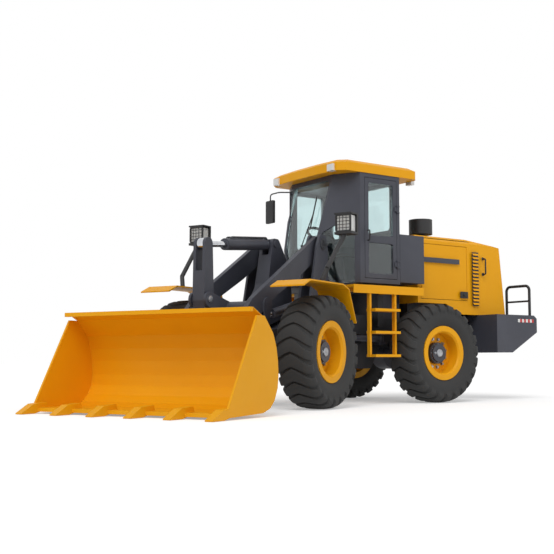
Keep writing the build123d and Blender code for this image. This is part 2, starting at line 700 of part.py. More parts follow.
def steering_column():
    """Dash pedestal, column and wheel."""
    pedestal = slab([(-60, CAB_BASE_Z + CAB_WALL), (-60, 1900), (-150, 2150), (-210, 2150), (-210, CAB_BASE_Z + CAB_WALL)],
                    (-130, 130))
    tilt = Plane(origin=(-230, 0, 2240), x_dir=(0, 1, 0), z_dir=(-0.5, 0, 0.866))
    ring = tilt * Torus(190, 18)
    post = bar((-180, 0, 2120), (-226, 0, 2236), 22)
    spokes = tilt * Box(380, 30, 14)
    return pedestal + post + spokes + ring


def front_roof_lamps(bottom):
    """Lamp bodies that stand in the roof's front corners, from a height upwards."""
    return both_sides(block((ROOF_FRONT - 75, ROOF_FRONT + 5), (555, 675), (bottom, CAB_TOP_Z + 92)))


def work_lamps():
    """Roof lamps at the front corners and the rear."""
    rear = both_sides(block((ROOF_REAR - 60, ROOF_REAR), (545, 655), (CAB_TOP_Z - 40, CAB_TOP_Z + 60)))
    return Compound(children=[*front_roof_lamps(CAB_TOP_Z + 4).solids(), *rear.solids()])


def platforms():
    """Deck on each side of the cab, with its fascia and the brackets that tie it to the frame's legs."""
    deck = plate([(-1180, 640), (-90, 640), (15, 760), (15, 1000), (-1180, 1000)], (1480, 1512))
    deck = deck + block((-1180, 15), (985, 1000), (1405, 1480))
    for x in (-880, -170):
        deck = deck + block((x - 30, x + 30), (470, 985), (1440, 1480))
    return both_sides(deck)


def ladders():
    """Stringers and three steps under each deck."""
    x = (-690, -270)
    parts = None
    for middle in x:
        stringer = block((middle - 15, middle + 15), (930, 984), (600, 1480))
        parts = stringer if parts is None else parts + stringer
    for z in (600, 895, 1180):
        parts = parts + block((x[0], x[1]), (900, 1080), (z, z + 34))
    return both_sides(parts)


# Front machine

def eye_shape(points_radii, y):
    """Flat link as the hull of round ends, thick along Y."""
    (a, ra), (b, rb) = points_radii
    plane = Plane(origin=(0, y[1], 0), x_dir=(1, 0, 0), z_dir=(0, -1, 0))
    ends = [Pos(a[0], a[1]) * Circle(ra), Pos(b[0], b[1]) * Circle(rb)]
    hull = make_hull([edge for end in ends for edge in end.edges()])
    return extrude(plane * hull, amount=y[1] - y[0], dir=(0, -1, 0))


def front_frame():
    """Central box over the axle, the two towers that hold the boom, the hinge tongues and the cylinder anchors."""
    tower_foot = 980
    tower = [(400, 760), (400, 1000), (350, 1150), (350, 1950), (400, 2150), (560, 2150), (640, 2000), (820, 1300), (1050, tower_foot), (1150, 760)]
    plates = None
    for low in (TOWER_INNER - TOWER_PLATE, TOWER_OUTER):
        piece = slab(tower, (low, low + TOWER_PLATE), [0, 40, 40, 40, 60, 60, 60, 80, 40, 0])
        plates = piece if plates is None else plates + piece
    plates = plates + slab([(400, 760), (400, 1180), (500, 1180), (1050, tower_foot), (1150, 760)],
                           (TOWER_INNER - TOWER_PLATE, TOWER_OUTER + TOWER_PLATE))
    towers = plates + mirror(plates, about=Plane.XZ)
    box_half = TOWER_INNER - TOWER_PLATE + 5
    body = slab([(HINGE_REACH + 205, 470), (HINGE_REACH + 205, 1160), (520, 1160), (1000, 960), (1700, 900), (1700, 800),
                 (700, 800), (560, 470)], (-box_half, box_half))
    for level in HINGE_LEVELS:
        gap = TONGUE_THICKNESS / 2 + FORK_GAP + FORK_THICKNESS + 20
        body = body - plate([(-10, -300), (HINGE_REACH + 140, -300), (HINGE_REACH + 140, 300), (-10, 300)],
                            (level - gap, level + gap))
        body = body + tongue(level, HINGE_REACH + 260)
    saddle_z = (TYRE_RADIUS + AXLE_TUBE_RADIUS - 40, 830)
    for side in (-1, 1):
        y = sorted((side * 270, side * 325))
        body = body + block((AXLE_FROM_PIN - 110, AXLE_FROM_PIN + 110), y, saddle_z)
    body = body - cross_pin((AXLE_FROM_PIN, TYRE_RADIUS), AXLE_TUBE_RADIUS + 0.3, (-400, 400))
    body = body - cross_pin((AXLE_FROM_PIN, TYRE_RADIUS), AXLE_BOWL_RADIUS + 12, (-262, 262))
    horn = slab([(560, 1150), (600, 1700), (900, 2075), (1040, 2075), (1060, 1960), (1150, 1500), (1450, 1100), (1450, 900)],
                (-FORK_HALF - 45, FORK_HALF + 45), [0, 60, 60, 60, 40, 60, 0, 0])
    slot = slab([(860, 1870), (860, 2200), (1500, 2200), (1500, 1870)], (-FORK_HALF, FORK_HALF), [60, 0, 0, 0])
    horn = horn - slot
    body = body + horn
    frame = towers + body
    for side in (-1, 1):
        frame = frame + cross_pin(BOOM_PIVOT, PIN_RADIUS, sorted((side * (TOWER_INNER - TOWER_PLATE - 10),
                                                                  side * (TOWER_OUTER + TOWER_PLATE + 12))))
        frame = frame + cross_pin(LIFT_ANCHOR, PIN_RADIUS - 8, sorted((side * (TOWER_INNER - TOWER_PLATE - 10),
                                                                       side * (TOWER_OUTER + TOWER_PLATE + 10))))
        inner, outer = sorted((side * box_half, side * (STEER_FRONT[1] + 55)))
        for low, high in ((STEER_Z - 70, STEER_Z - 40), (STEER_Z + 40, STEER_Z + 70)):
            frame = frame + block((STEER_FRONT[0] - 55, STEER_FRONT[0] + 130), (inner, outer), (low, high))
    frame = frame + cross_pin(TILT_ANCHOR, PIN_RADIUS, (-FORK_HALF - 60, FORK_HALF + 60))
    return frame


def front_fenders():
    """Bent fender plate over each front wheel, with the arm that carries it from the tower."""
    top, skin = 1455, 16
    points = [(2110, top - 70), (1950, top), (1160, top), (1000, top - 55), (813, 1005)]
    inner = [(813 + skin * 0.9, 999), (1012, top - 62), (1165, top - skin), (1948, top - skin), (2108, top - 70 - skin)]
    sheet = slab(points + inner, (700, 1130))
    arm = plate([(750, TOWER_OUTER + TOWER_PLATE), (835, TOWER_OUTER + TOWER_PLATE), (936, 700), (936, 1090), (880, 1090),
                 (850, 720)], (1235, 1275))
    return both_sides(sheet + arm)


def lamp_brackets():
    """Stalk on each fender that carries a head lamp in its guard."""
    stalk = upright(1440, 1000, 28, (1455, 1500)) + bar((1440, 1000, 1490), (1400, 1040, 1620), 28) + bar((1400, 1040, 1620), (1010, 1075, 2060), 28)
    guard = block((880, 1060), (960, 1190), (2060, 2090)) + block((880, 1060), (960, 1190), (2300, 2320)) + block((880, 910), (960, 1190), (2060, 2320))
    return both_sides(stalk + guard)


def head_lamps():
    """Lamp bodies inside their guards."""
    lamp = block((910, 1040), (985, 1165), (2100, 2290))
    return both_sides(lamp)


def arm_outline():
    """Side view of one boom arm, from its pivot down to the bucket pin."""
    return [
        (400, 2110), (545, 2128), (2060, 1258), (2250, 1075), (2430, 838), (2555, 610), (2800, 350), (2740, 190),
        (2600, 190), (2500, 290), (2080, 930), (1950, 1040), (1500, 1335), (1000, 1580), (430, 1900), (370, 1990),
    ]


def boom():
    """Two arms joined by the cross tube, with the lever's brackets and the lift cylinders' lugs."""
    arm = slab(arm_outline(), (ARM_INNER, ARM_OUTER), [60, 90, 120, 120, 200, 200, 80, 60, 60, 80, 120, 150, 200, 200, 60, 60])
    arm = arm - cross_pin(BOOM_PIVOT, PIN_RADIUS + PIN_CLEARANCE, (ARM_INNER - 1, ARM_OUTER + 1))
    arm = arm - cross_pin(BUCKET_PIN, PIN_RADIUS + PIN_CLEARANCE, (ARM_INNER - 1, ARM_OUTER + 1))
    lug_top = (LIFT_EYE[0] - 20, LIFT_EYE[1] + 130)
    for y in ((ARM_INNER - 16, ARM_INNER), (ARM_OUTER, ARM_OUTER + 16)):
        arm = arm + eye_shape(((LIFT_EYE, 60), (lug_top, 90)), y)
    arms = arm + mirror(arm, about=Plane.XZ)
    tube = cross_pin(CROSS_TUBE, CROSS_TUBE_RADIUS, (-ARM_INNER, ARM_INNER))
    frame = arms + tube
    inner = LEVER_HALF + SIDE_GAP
    bracket = eye_shape(((CROSS_TUBE, CROSS_TUBE_RADIUS - 5), (LEVER_PIVOT, 85)), (inner, inner + 30))
    bracket = bracket - cross_pin(LEVER_PIVOT, PIN_RADIUS + PIN_CLEARANCE, (inner - 1, inner + 31))
    return frame + bracket + mirror(bracket, about=Plane.XZ)


def lever_pin():
    """Pin that carries the lever in the boom's brackets."""
    end = LEVER_HALF + SIDE_GAP + 30 + 12
    return cross_pin(LEVER_PIVOT, PIN_RADIUS, (-end, end))


def tilt_lever():
    """Bell crank between the tilt cylinder and the link, forked at both ends so that the eyes stand in it."""
    waist = (LEVER_PIVOT[0] - LEVER_WAIST_BACK, LEVER_PIVOT[1])
    upper = eye_shape(((LEVER_TOP, LEVER_END), (waist, LEVER_WAIST)), (-LEVER_HALF, LEVER_HALF))
    lower = eye_shape(((LEVER_BOTTOM, LEVER_END), (waist, LEVER_WAIST)), (-LEVER_HALF, LEVER_HALF))
    lever = upper + lower - cross_pin(LEVER_PIVOT, PIN_RADIUS + PIN_CLEARANCE, (-LEVER_HALF - 1, LEVER_HALF + 1))
    for point, depth in ((LEVER_TOP, LEVER_TOP_SLOT), (LEVER_BOTTOM, LEVER_BOTTOM_SLOT)):
        direction, _ = along(LEVER_PIVOT, point)
        side = (-direction[1], direction[0])
        corners = [(point[0] - direction[0] * back + side[0] * across, point[1] - direction[1] * back + side[1] * across)
                   for back, across in ((depth, -200), (depth, 200), (-200, 200), (-200, -200))]
        lever = lever - slab(corners, (-FORK_HALF, FORK_HALF))
    return lever


def tilt_link():
    """Link from the lever's lower fork to the pin on the bucket's back."""
    link = eye_shape(((LEVER_BOTTOM, LINK_EYE), (LINK_PIN, LINK_EYE)), (-EYE_HALF, EYE_HALF))
    return link - cross_pin(LINK_PIN, LINK_PIN_RADIUS + PIN_CLEARANCE, (-EYE_HALF - 1, EYE_HALF + 1))


def link_pin():
    """Pin that holds the link in the bucket's upper lugs."""
    end = FORK_HALF + LUG_PLATE + 10
    return cross_pin(LINK_PIN, LINK_PIN_RADIUS, (-end, end))


def cylinder_pair(anchor, eye, y, barrel_radius, rod_radius, closed, half):
    """Barrel with its bored eye on the anchor pin, and rod with its solid eye, at one height along Y."""
    (dx, dz), length = along(anchor, eye)
    point = lambda s: (anchor[0] + dx * s, y, anchor[1] + dz * s)
    neck_end = (anchor[0] + dx * 110, anchor[1] + dz * 110)
    neck = eye_shape(((anchor, barrel_radius), (neck_end, barrel_radius - 20)), (y - half, y + half))
    barrel = neck + bar(point(105), point(closed), barrel_radius) - bar(point(150), point(closed + 1), rod_radius + 0.5)
    return barrel, point, length


def tilt_cylinder():
    """Tilt cylinder's barrel and rod on the machine's middle plane."""
    barrel, point, length = cylinder_pair(TILT_ANCHOR, LEVER_TOP, 0, 70, 36, 1000, EYE_HALF)
    barrel = barrel - cross_pin(TILT_ANCHOR, PIN_RADIUS + PIN_CLEARANCE, (-EYE_HALF - 1, EYE_HALF + 1))
    rod = bar(point(600), point(length - 40), 36) + cross_pin(LEVER_TOP, 68, (-EYE_HALF, EYE_HALF))
    return barrel, rod


def lift_cylinders():
    """Barrels and rods of the two lift cylinders, under the boom's arms."""
    y = (ARM_INNER + ARM_OUTER) / 2
    half = 50
    barrel, point, length = cylinder_pair(LIFT_ANCHOR, LIFT_EYE, y, 55, 30, 1060, half)
    barrel = barrel - cross_pin(LIFT_ANCHOR, PIN_RADIUS - 8 + PIN_CLEARANCE, (y - half - 1, y + half + 1))
    eye_half = (ARM_OUTER - ARM_INNER) / 2 - 5
    rod = bar(point(170), point(length - 40), 30) + cross_pin(LIFT_EYE, 55, (y - eye_half, y + eye_half))
    return both_sides(barrel), both_sides(rod)


def steer_eye(side):
    """Where a steering rod's eye stands at rest, in the rear frame."""
    angle = math.radians(STEER_REST)
    x, y = STEER_FRONT[0], side * STEER_FRONT[1]
    return (x * math.cos(angle) - y * math.sin(angle), x * math.sin(angle) + y * math.cos(angle))


def steering_cylinder(side):
    """One steering cylinder's barrel and rod, from the rear frame to the front frame."""
    start = (STEER_REAR[0], side * STEER_REAR[1])
    eye = steer_eye(side)
    (dx, dy), length = along(start, eye)
    point = lambda s: (start[0] + dx * s, start[1] + dy * s, STEER_Z)
    barrel = bar(point(40), point(STEER_BARREL_LENGTH), STEER_BARREL)
    barrel = barrel + upright(start[0], start[1], 48, (STEER_Z - 40, STEER_Z + 40))
    barrel = barrel - bar(point(90), point(STEER_BARREL_LENGTH + 1), STEER_ROD + 0.5)
    barrel = barrel - upright(start[0], start[1], STEER_PIN + PIN_CLEARANCE, (STEER_Z - 41, STEER_Z + 41))
    rod = bar(point(length - STEER_ROD_LENGTH), point(length - 30), STEER_ROD)
    rod = rod + upright(eye[0], eye[1], 44, (STEER_Z - 34, STEER_Z + 34))
    return barrel, rod


# Bucket

def bucket_back(offset):
    """Side-view curve of the bucket's wall, from its lip over the round back to the cutting edge."""
    rear = BUCKET_REAR + offset
    floor = BUCKET_FLOOR_Z + offset
    return [
        (BUCKET_TOP[0] + offset, BUCKET_TOP[1]), (rear + 268, 1000), (rear + 103, 830), (rear + 40, 690), (rear + 10, 550),
        (rear, 400), (rear + 16, 280), (rear + 75, floor + 115), (rear + 160, floor + 40), (rear + 290, floor),
    ]


def bucket():
    """Welded bucket: wrapped floor and back, side plates, top lip, cutting edge, teeth and hinge lugs."""
    half = BUCKET_HALF_WIDTH
    outer = bucket_back(0)
    inner = bucket_back(BUCKET_SHEET)
    sheet_points = outer + [(BUCKET_EDGE, BUCKET_FLOOR_Z - 20), (BUCKET_EDGE, BUCKET_FLOOR_Z + BUCKET_SHEET)] + inner[::-1]
    wrap = slab(sheet_points, (-half + BUCKET_SIDE, half - BUCKET_SIDE))
    side_points = outer[1:] + [(BUCKET_EDGE - 20, BUCKET_FLOOR_Z - 20), (BUCKET_EDGE - 10, BUCKET_FLOOR_Z + 40), (BUCKET_TOP[0] - 40, 1000), (BUCKET_TOP[0] - 110, 1000)]
    side = slab(side_points, (half - BUCKET_SIDE, half))
    lip = slab([(BUCKET_TOP[0], BUCKET_TOP[1] - 45), (BUCKET_TOP[0], BUCKET_TOP[1]), (BUCKET_TOP[0] + 45, BUCKET_TOP[1]), (BUCKET_TOP[0] + 45, BUCKET_TOP[1] - 45)],
               (-half + BUCKET_SIDE, half - BUCKET_SIDE))
    shell = wrap + side + mirror(side, about=Plane.XZ) + lip
    pitch = (2 * half - TOOTH_WIDTH) / (TOOTH_COUNT - 1)
    tooth = slab([(BUCKET_EDGE - 150, BUCKET_FLOOR_Z + BUCKET_SHEET), (BUCKET_EDGE - 130, BUCKET_FLOOR_Z + 75), (BUCKET_EDGE + 60, BUCKET_FLOOR_Z + 62),
                  (BUCKET_TIP, 14), (BUCKET_TIP, 2), (BUCKET_EDGE + 40, 4), (BUCKET_EDGE - 60, BUCKET_FLOOR_Z - 15)],
                 (-TOOTH_WIDTH / 2, TOOTH_WIDTH / 2))
    for index in range(TOOTH_COUNT):
        shell = shell + Pos(0, -half + TOOTH_WIDTH / 2 + index * pitch, 0) * tooth
    lug_back = (2880, BUCKET_PIN[1] + 60)
    cavity = slab(inner + [(BUCKET_EDGE, BUCKET_FLOOR_Z + BUCKET_SHEET), (BUCKET_EDGE, BUCKET_TOP[1])], (-half, half))
    upper_back = (LINK_PIN[0] + 130, LINK_PIN[1])
    lug = eye_shape(((LINK_PIN, 65), (upper_back, 120)), (FORK_HALF, FORK_HALF + LUG_PLATE))
    lug = lug - cross_pin(LINK_PIN, LINK_PIN_RADIUS + PIN_CLEARANCE, (FORK_HALF - 1, FORK_HALF + LUG_PLATE + 1))
    lugs = lug + mirror(lug, about=Plane.XZ)
    for low in (ARM_INNER - SIDE_GAP - LUG_PLATE, ARM_OUTER + SIDE_GAP):
        lug = eye_shape(((BUCKET_PIN, 85), (lug_back, 130)), (low, low + LUG_PLATE))
        lug = lug - cross_pin(BUCKET_PIN, PIN_RADIUS + PIN_CLEARANCE, (low - 1, low + LUG_PLATE + 1))
        lugs = lugs + lug + mirror(lug, about=Plane.XZ)
    return shell + (lugs - cavity)


def bucket_pins():
    """The two pins that hang the bucket on the boom's arms."""
    end = (ARM_INNER - SIDE_GAP - LUG_PLATE - 12, ARM_OUTER + SIDE_GAP + LUG_PLATE + 12)
    return both_sides(cross_pin(BUCKET_PIN, PIN_RADIUS, end))


def rear_nodes():
    """Every node that is modelled in the rear frame."""
    nodes = {
        "rear_frame": rear_frame(), "steer_brackets": steer_brackets(), "rear_axle": axle(-AXLE_FROM_PIN),
        "hood": hood(), "rear_grille": rear_grille(),
        "engine_block": engine_block(), "counterweight": counterweight(), "rear_rails": rear_rails(),
        "cab_shell": cab_shell(), "cab_glass": cab_glass(), "cab_roof": cab_roof(), "cab_mounts": cab_floor_mount(),
        "cab_door": cab_door(), "door_glass": door_glass(), "hydraulic_tank": hydraulic_tank(),
        "air_precleaner": precleaner(), "operator_seat": seat(), "steering_column": steering_column(),
        "work_lamps": work_lamps(), "platforms": platforms(), "ladders": ladders(),
        "hood_door_left": hood_door(1), "hood_door_right": hood_door(-1),
    }
    for name, side in (("left", 1), ("right", -1)):
        barrel, rod = steering_cylinder(side)
        nodes[f"steer_barrel_{name}"] = barrel
        nodes[f"steer_rod_{name}"] = rod
        for piece, solid in wheel(-AXLE_FROM_PIN, side).items():
            nodes[f"{piece}_rear_{name}"] = solid
    return nodes


def front_nodes():
    """Every node that is modelled in the front frame."""
    tilt_barrel, tilt_rod = tilt_cylinder()
    lift_barrels, lift_rods = lift_cylinders()
    nodes = {
        "front_frame": front_frame(), "front_axle": axle(AXLE_FROM_PIN), "front_fenders": front_fenders(),
        "lamp_brackets": lamp_brackets(), "head_lamps": head_lamps(), "boom": boom(), "lever_pin": lever_pin(),
        "tilt_lever": tilt_lever(), "tilt_link": tilt_link(), "tilt_barrel": tilt_barrel, "tilt_rod": tilt_rod,
        "lift_barrels": lift_barrels, "lift_rods": lift_rods, "bucket": bucket(), "bucket_pins": bucket_pins(),
        "link_pin": link_pin(),
    }
    for name, side in (("left", 1), ("right", -1)):
        for piece, solid in wheel(AXLE_FROM_PIN, side).items():
            nodes[f"{piece}_front_{name}"] = solid
    return nodes


def main():
    """Places every node in the machine's frame and writes one STEP file for each."""
    os.makedirs("parts", exist_ok=True)
    for nodes, place in ((rear_nodes(), REAR), (front_nodes(), FRONT)):
        for name, part in nodes.items():
            solids = [place * solid for solid in part.solids()]
            export_step(solids[0] if len(solids) == 1 else Compound(children=solids), f"parts/{name}.step")


if __name__ == "__main__":
    main()
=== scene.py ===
"""Dressed wheel loader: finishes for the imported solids, lugged tyres, seat cushions and small fittings."""

import json
import logging
import math
from dataclasses import dataclass, field
from enum import Enum
from typing import Callable, Optional, Sequence

import bmesh
import bpy
import numpy as np
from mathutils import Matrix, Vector


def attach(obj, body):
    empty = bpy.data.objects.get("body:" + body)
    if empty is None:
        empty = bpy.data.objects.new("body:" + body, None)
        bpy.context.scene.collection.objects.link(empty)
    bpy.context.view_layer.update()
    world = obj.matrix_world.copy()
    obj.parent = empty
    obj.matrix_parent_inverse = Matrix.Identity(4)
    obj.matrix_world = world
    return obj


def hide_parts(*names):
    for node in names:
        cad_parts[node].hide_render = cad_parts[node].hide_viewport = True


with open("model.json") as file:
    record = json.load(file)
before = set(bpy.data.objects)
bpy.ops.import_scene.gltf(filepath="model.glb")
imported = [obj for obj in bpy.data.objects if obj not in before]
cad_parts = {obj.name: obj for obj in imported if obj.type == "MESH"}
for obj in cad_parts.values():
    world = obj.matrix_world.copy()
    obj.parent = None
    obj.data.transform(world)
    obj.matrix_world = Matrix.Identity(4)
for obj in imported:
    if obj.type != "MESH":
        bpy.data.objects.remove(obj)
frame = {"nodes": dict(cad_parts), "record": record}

LOG = logging.getLogger("wheel_loader")
Array = np.ndarray
Colour = tuple[float, float, float]

MM = 0.001
PIVOT = np.array([-0.311, -0.818, 0.0])
STEER_REST = math.radians(24.5)


def srgb(red: int, green: int, blue: int) -> Colour:
    """Linear colour of a screen colour.

    Args:
        red: Red from 0 to 255.
        green: Green from 0 to 255.
        blue: Blue from 0 to 255.

    Returns:
        The three linear parts, from 0 to 1.
    """
    share = np.array([red, green, blue]) / 255.0
    linear = np.where(share <= 0.04045, share / 12.92, ((share + 0.055) / 1.055) ** 2.4)
    return tuple(float(part) for part in linear)


class Station(Enum):
    """Half of the machine that a piece is measured in, by how far it stands turned at rest."""

    REAR = 0.0
    FRONT = STEER_REST

    @property
    def spin(self) -> Array:
        """Turning matrix of this half at rest."""
        cos, sin = math.cos(self.value), math.sin(self.value)
        return np.array([[cos, -sin, 0.0], [sin, cos, 0.0], [0.0, 0.0, 1.0]])

    def place(self, points: Array) -> Array:
        """Millimetre points of this half as metres in the machine's frame.

        Args:
            points: Points from the ground under the articulation pin, (n, 3).

        Returns:
            The points turned with this half and moved to the pin, (n, 3).
        """
        return points * MM @ self.spin.T + PIVOT

    def local(self, points: Array) -> Array:
        """Metre points of the machine's frame as millimetres of this half.

        Args:
            points: Points in the machine's frame, (n, 3).

        Returns:
            The points from the ground under the articulation pin, (n, 3).
        """
        return (points - PIVOT) / MM @ self.spin


class Slot(Enum):
    """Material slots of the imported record."""

    YELLOW = "yellow_paint"
    SLATE = "slate_paint"
    RUBBER = "tyre_rubber"
    STEEL = "rod_steel"
    GLASS = "tinted_glass"
    TRIM = "black_trim"
    LENS = "lamp_lens"
    IRON = "engine_iron"


# Surfaces


@dataclass
class Surface:
    """Points and quads of a piece, in millimetres of its half of the machine."""

    points: Array
    quads: Array

    @classmethod
    def grid(cls, points: Array, wrap_u: bool = False, wrap_v: bool = False) -> "Surface":
        """Quads between the neighbours of a grid of points.

        Args:
            points: Grid of points, (u, v, 3).
            wrap_u: Whether the last row joins the first.
            wrap_v: Whether the last column joins the first.

        Returns:
            The surface.
        """
        rows, columns = points.shape[:2]
        index = np.arange(rows * columns).reshape(rows, columns)
        index = np.vstack([index, index[:1]]) if wrap_u else index
        index = np.hstack([index, index[:, :1]]) if wrap_v else index
        quads = np.stack([index[:-1, :-1], index[1:, :-1], index[1:, 1:], index[:-1, 1:]], axis=-1)
        return cls(points.reshape(-1, 3), quads.reshape(-1, 4))

    @classmethod
    def join(cls, surfaces: Sequence["Surface"]) -> "Surface":
        """Several surfaces as one."""
        counts = np.cumsum([0] + [len(surface.points) for surface in surfaces])
        quads = [surface.quads + start for surface, start in zip(surfaces, counts)]
        return cls(np.vstack([surface.points for surface in surfaces]), np.vstack(quads))

    def moved(self, spin: Array, offset: Sequence[float]) -> "Surface":
        """The surface turned by a matrix and moved by an offset."""
        return Surface(self.points @ np.asarray(spin, float).T + np.asarray(offset, float), self.quads)

    def mirrored(self) -> "Surface":
        """Mirror image across the machine's middle plane."""
        return Surface(self.points * np.array([1.0, -1.0, 1.0]), self.quads[:, ::-1])

    def both(self) -> "Surface":
        """The surface and its mirror image."""
        return Surface.join([self, self.mirrored()])

    def scattered(self, spins: Array, offsets: Array) -> "Surface":
        """Copies of the surface, one for each turn and offset.

        Args:
            spins: Turning matrices, (k, 3, 3).
            offsets: Places, (k, 3).

        Returns:
            All copies as one surface.
        """
        points = np.einsum("kij,nj->kni", spins, self.points) + offsets[:, None, :]
        starts = np.arange(len(offsets))[:, None, None] * len(self.points)
        return Surface(points.reshape(-1, 3), (self.quads[None] + starts).reshape(-1, 4))


def unit(vectors: Array) -> Array:
    """Vectors scaled to length one along their last axis."""
    return vectors / np.maximum(np.linalg.norm(vectors, axis=-1, keepdims=True), 1e-12)


def frame_of(direction: Sequence[float]) -> Array:
    """Turning matrix that takes +Z to a direction.

    Args:
        direction: Where the local +Z axis points.

    Returns:
        The matrix, whose columns are the local axes.
    """
    axis = unit(np.asarray(direction, float))
    helper = np.array([0.0, 1.0, 0.0]) if abs(axis[1]) < 0.9 else np.array([1.0, 0.0, 0.0])
    side = unit(np.cross(helper, axis))
    return np.column_stack([side, np.cross(axis, side), axis])


def spline(knots: Sequence[Sequence[float]], count: int, closed: bool = False) -> Array:
    """Smooth line through knots: in each span a cubic whose end slopes are half the chord of the neighbours.

    Args:
        knots: Points that the line goes through.
        count: Number of points on the line.
        closed: Whether the line comes back to its first knot.

    Returns:
        The points, evenly spread over the spans.
    """
    given = np.asarray(knots, float)
    total = len(given)
    spans = total if closed else total - 1
    share = np.linspace(0.0, spans, count, endpoint=not closed)
    start = np.minimum(share.astype(int), spans - 1)
    t = (share - start)[:, None]
    picked = start[:, None] + np.arange(-1, 3)[None]
    picked = picked % total if closed else np.clip(picked, 0, total - 1)
    before, low, high, after = np.moveaxis(given[picked], 1, 0)
    slope_low, slope_high = (high - before) / 2, (after - low) / 2
    cubic = 2 * (low - high) + slope_low + slope_high
    square = 3 * (high - low) - 2 * slope_low - slope_high
    return ((cubic * t + square) * t + slope_low) * t + low


def bent(corners: Sequence[Sequence[float]], bend: float, steps: int = 8, closed: bool = False) -> Array:
    """Straight runs with rounded corners.

    Near each corner the line is the quadratic curve that leaves one run and joins the next.

    Args:
        corners: Corner points of the line.
        bend: Distance from a corner at which the curve starts.
        steps: Points on each curve.
        closed: Whether the line comes back to its first corner.

    Returns:
        The points of the line.
    """
    given = np.asarray(corners, float)
    before, after = np.roll(given, 1, axis=0), np.roll(given, -1, axis=0)
    reach_in = np.minimum(bend, np.linalg.norm(before - given, axis=1) * 0.49)[:, None]
    reach_out = np.minimum(bend, np.linalg.norm(after - given, axis=1) * 0.49)[:, None]
    start, end = given + unit(before - given) * reach_in, given + unit(after - given) * reach_out
    t = np.linspace(0.0, 1.0, steps)[None, :, None]
    curve = (1 - t) ** 2 * start[:, None] + 2 * t * (1 - t) * given[:, None] + t**2 * end[:, None]
    if closed:
        return curve.reshape(-1, given.shape[1])
    return np.vstack([given[:1], curve[1:-1].reshape(-1, given.shape[1]), given[-1:]])


def ring(radius: float, sides: int) -> Array:
    """Round profile of a radius, as (sides, 2) points."""
    turn = np.linspace(0.0, 2 * math.pi, sides, endpoint=False)
    return radius * np.column_stack([np.cos(turn), np.sin(turn)])


def rounded_rectangle(width: float, height: float, radius: float, steps: int = 5) -> Array:
    """Profile of a rectangle with round corners, as (n, 2) points."""
    w, h = width / 2, height / 2
    return bent([(-w, -h), (w, -h), (w, h), (-w, h)], radius, steps, closed=True)


def sweep(path: Array, profile: Array, closed: bool = False, up: Sequence[float] = (0, 0, 1)) -> Surface:
    """Profile carried along a path: path point + first part times the side direction + second part times the rise.

    The side direction is square to the path and to the up vector, and the rise is square to both. Open ends are closed
    by drawing the profile in to the path.

    Args:
        path: Points of the path, (n, 3).
        profile: Section, (m, 2), across and along the rise.
        closed: Whether the path joins its own start.
        up: Vector that the rise leans to.

    Returns:
        The surface.
    """
    if closed:
        heading = unit(np.roll(path, -1, axis=0) - np.roll(path, 1, axis=0))
    else:
        heading = unit(np.gradient(path, axis=0))
    side = unit(np.cross(heading, np.asarray(up, float)))
    rise = np.cross(side, heading)
    points = path[:, None] + profile[None, :, :1] * side[:, None] + profile[None, :, 1:] * rise[:, None]
    if not closed:
        count = len(profile)
        points = np.concatenate([np.repeat(path[:1, None], count, 1), points, np.repeat(path[-1:, None], count, 1)])
    return Surface.grid(points, wrap_u=closed, wrap_v=True)


def tube(knots: Sequence[Sequence[float]], radius: float, bend: float = 0.0, sides: int = 12,
         up: Sequence[float] = (0.13, 0.21, 0.97)) -> Surface:
    """Round tube along straight runs with bent corners."""
    path = bent(knots, bend) if bend > 0 else np.asarray(knots, float)
    return sweep(path, ring(radius, sides), up=up)


def turned(profile: Sequence[Sequence[float]], sides: int = 32) -> Surface:
    """Solid of revolution about local Z: each (radius, height) point of the profile goes round a circle.

    Args:
        profile: (radius, height) points from one end of the axis to the other.
        sides: Points on each circle.

    Returns:
        The surface, closed where the profile reaches the axis.
    """
    section = np.asarray(profile, float)
    turn = np.linspace(0.0, 2 * math.pi, sides, endpoint=False)
    circle = np.column_stack([np.cos(turn), np.sin(turn)])
    flat = section[:, None, :1] * circle[None]
    height = np.broadcast_to(section[:, None, 1:], flat.shape[:2] + (1,))
    return Surface.grid(np.concatenate([flat, height], axis=-1), wrap_v=True)


def stacked(outline: Array, levels: Sequence[tuple[float, float]]) -> Surface:
    """Outline repeated at levels of (inset, height): each point draws in to the middle by the inset.

    Args:
        outline: Plan of the piece, (n, 2).
        levels: Inset and height of each repeat, from the bottom up.

    Returns:
        The surface, closed flat at both ends.
    """
    middle = outline.mean(axis=0)
    reach = np.linalg.norm(outline - middle, axis=1)
    inset, height = np.asarray(levels, float).T
    share = 1.0 - inset[:, None] / reach[None]
    plan = middle + share[..., None] * (outline - middle)[None]
    rings = np.concatenate([plan, np.broadcast_to(height[:, None, None], plan.shape[:2] + (1,))], axis=-1)
    poles = [np.broadcast_to(np.append(middle, level), (1, len(outline), 3)) for level in (height[0], height[-1])]
    return Surface.grid(np.concatenate([poles[0], rings, poles[1]]), wrap_v=True)


def soft_box(size: Sequence[float], corner: float, edge: float, steps: int = 4) -> Surface:
    """Box with round upright corners and rounded edges, centred on the origin.

    Args:
        size: Width, depth and height.
        corner: Radius of the upright corners.
        edge: Radius of the other edges.
        steps: Points on each rounded edge.

    Returns:
        The surface.
    """
    turn = np.linspace(0.0, math.pi / 2, steps)
    half = size[2] / 2
    low = [(edge * (1 - math.sin(a)), -half + edge * (1 - math.cos(a))) for a in turn]
    high = [(inset, -height) for inset, height in reversed(low)]
    return stacked(rounded_rectangle(size[0], size[1], corner, steps + 1), low + high)


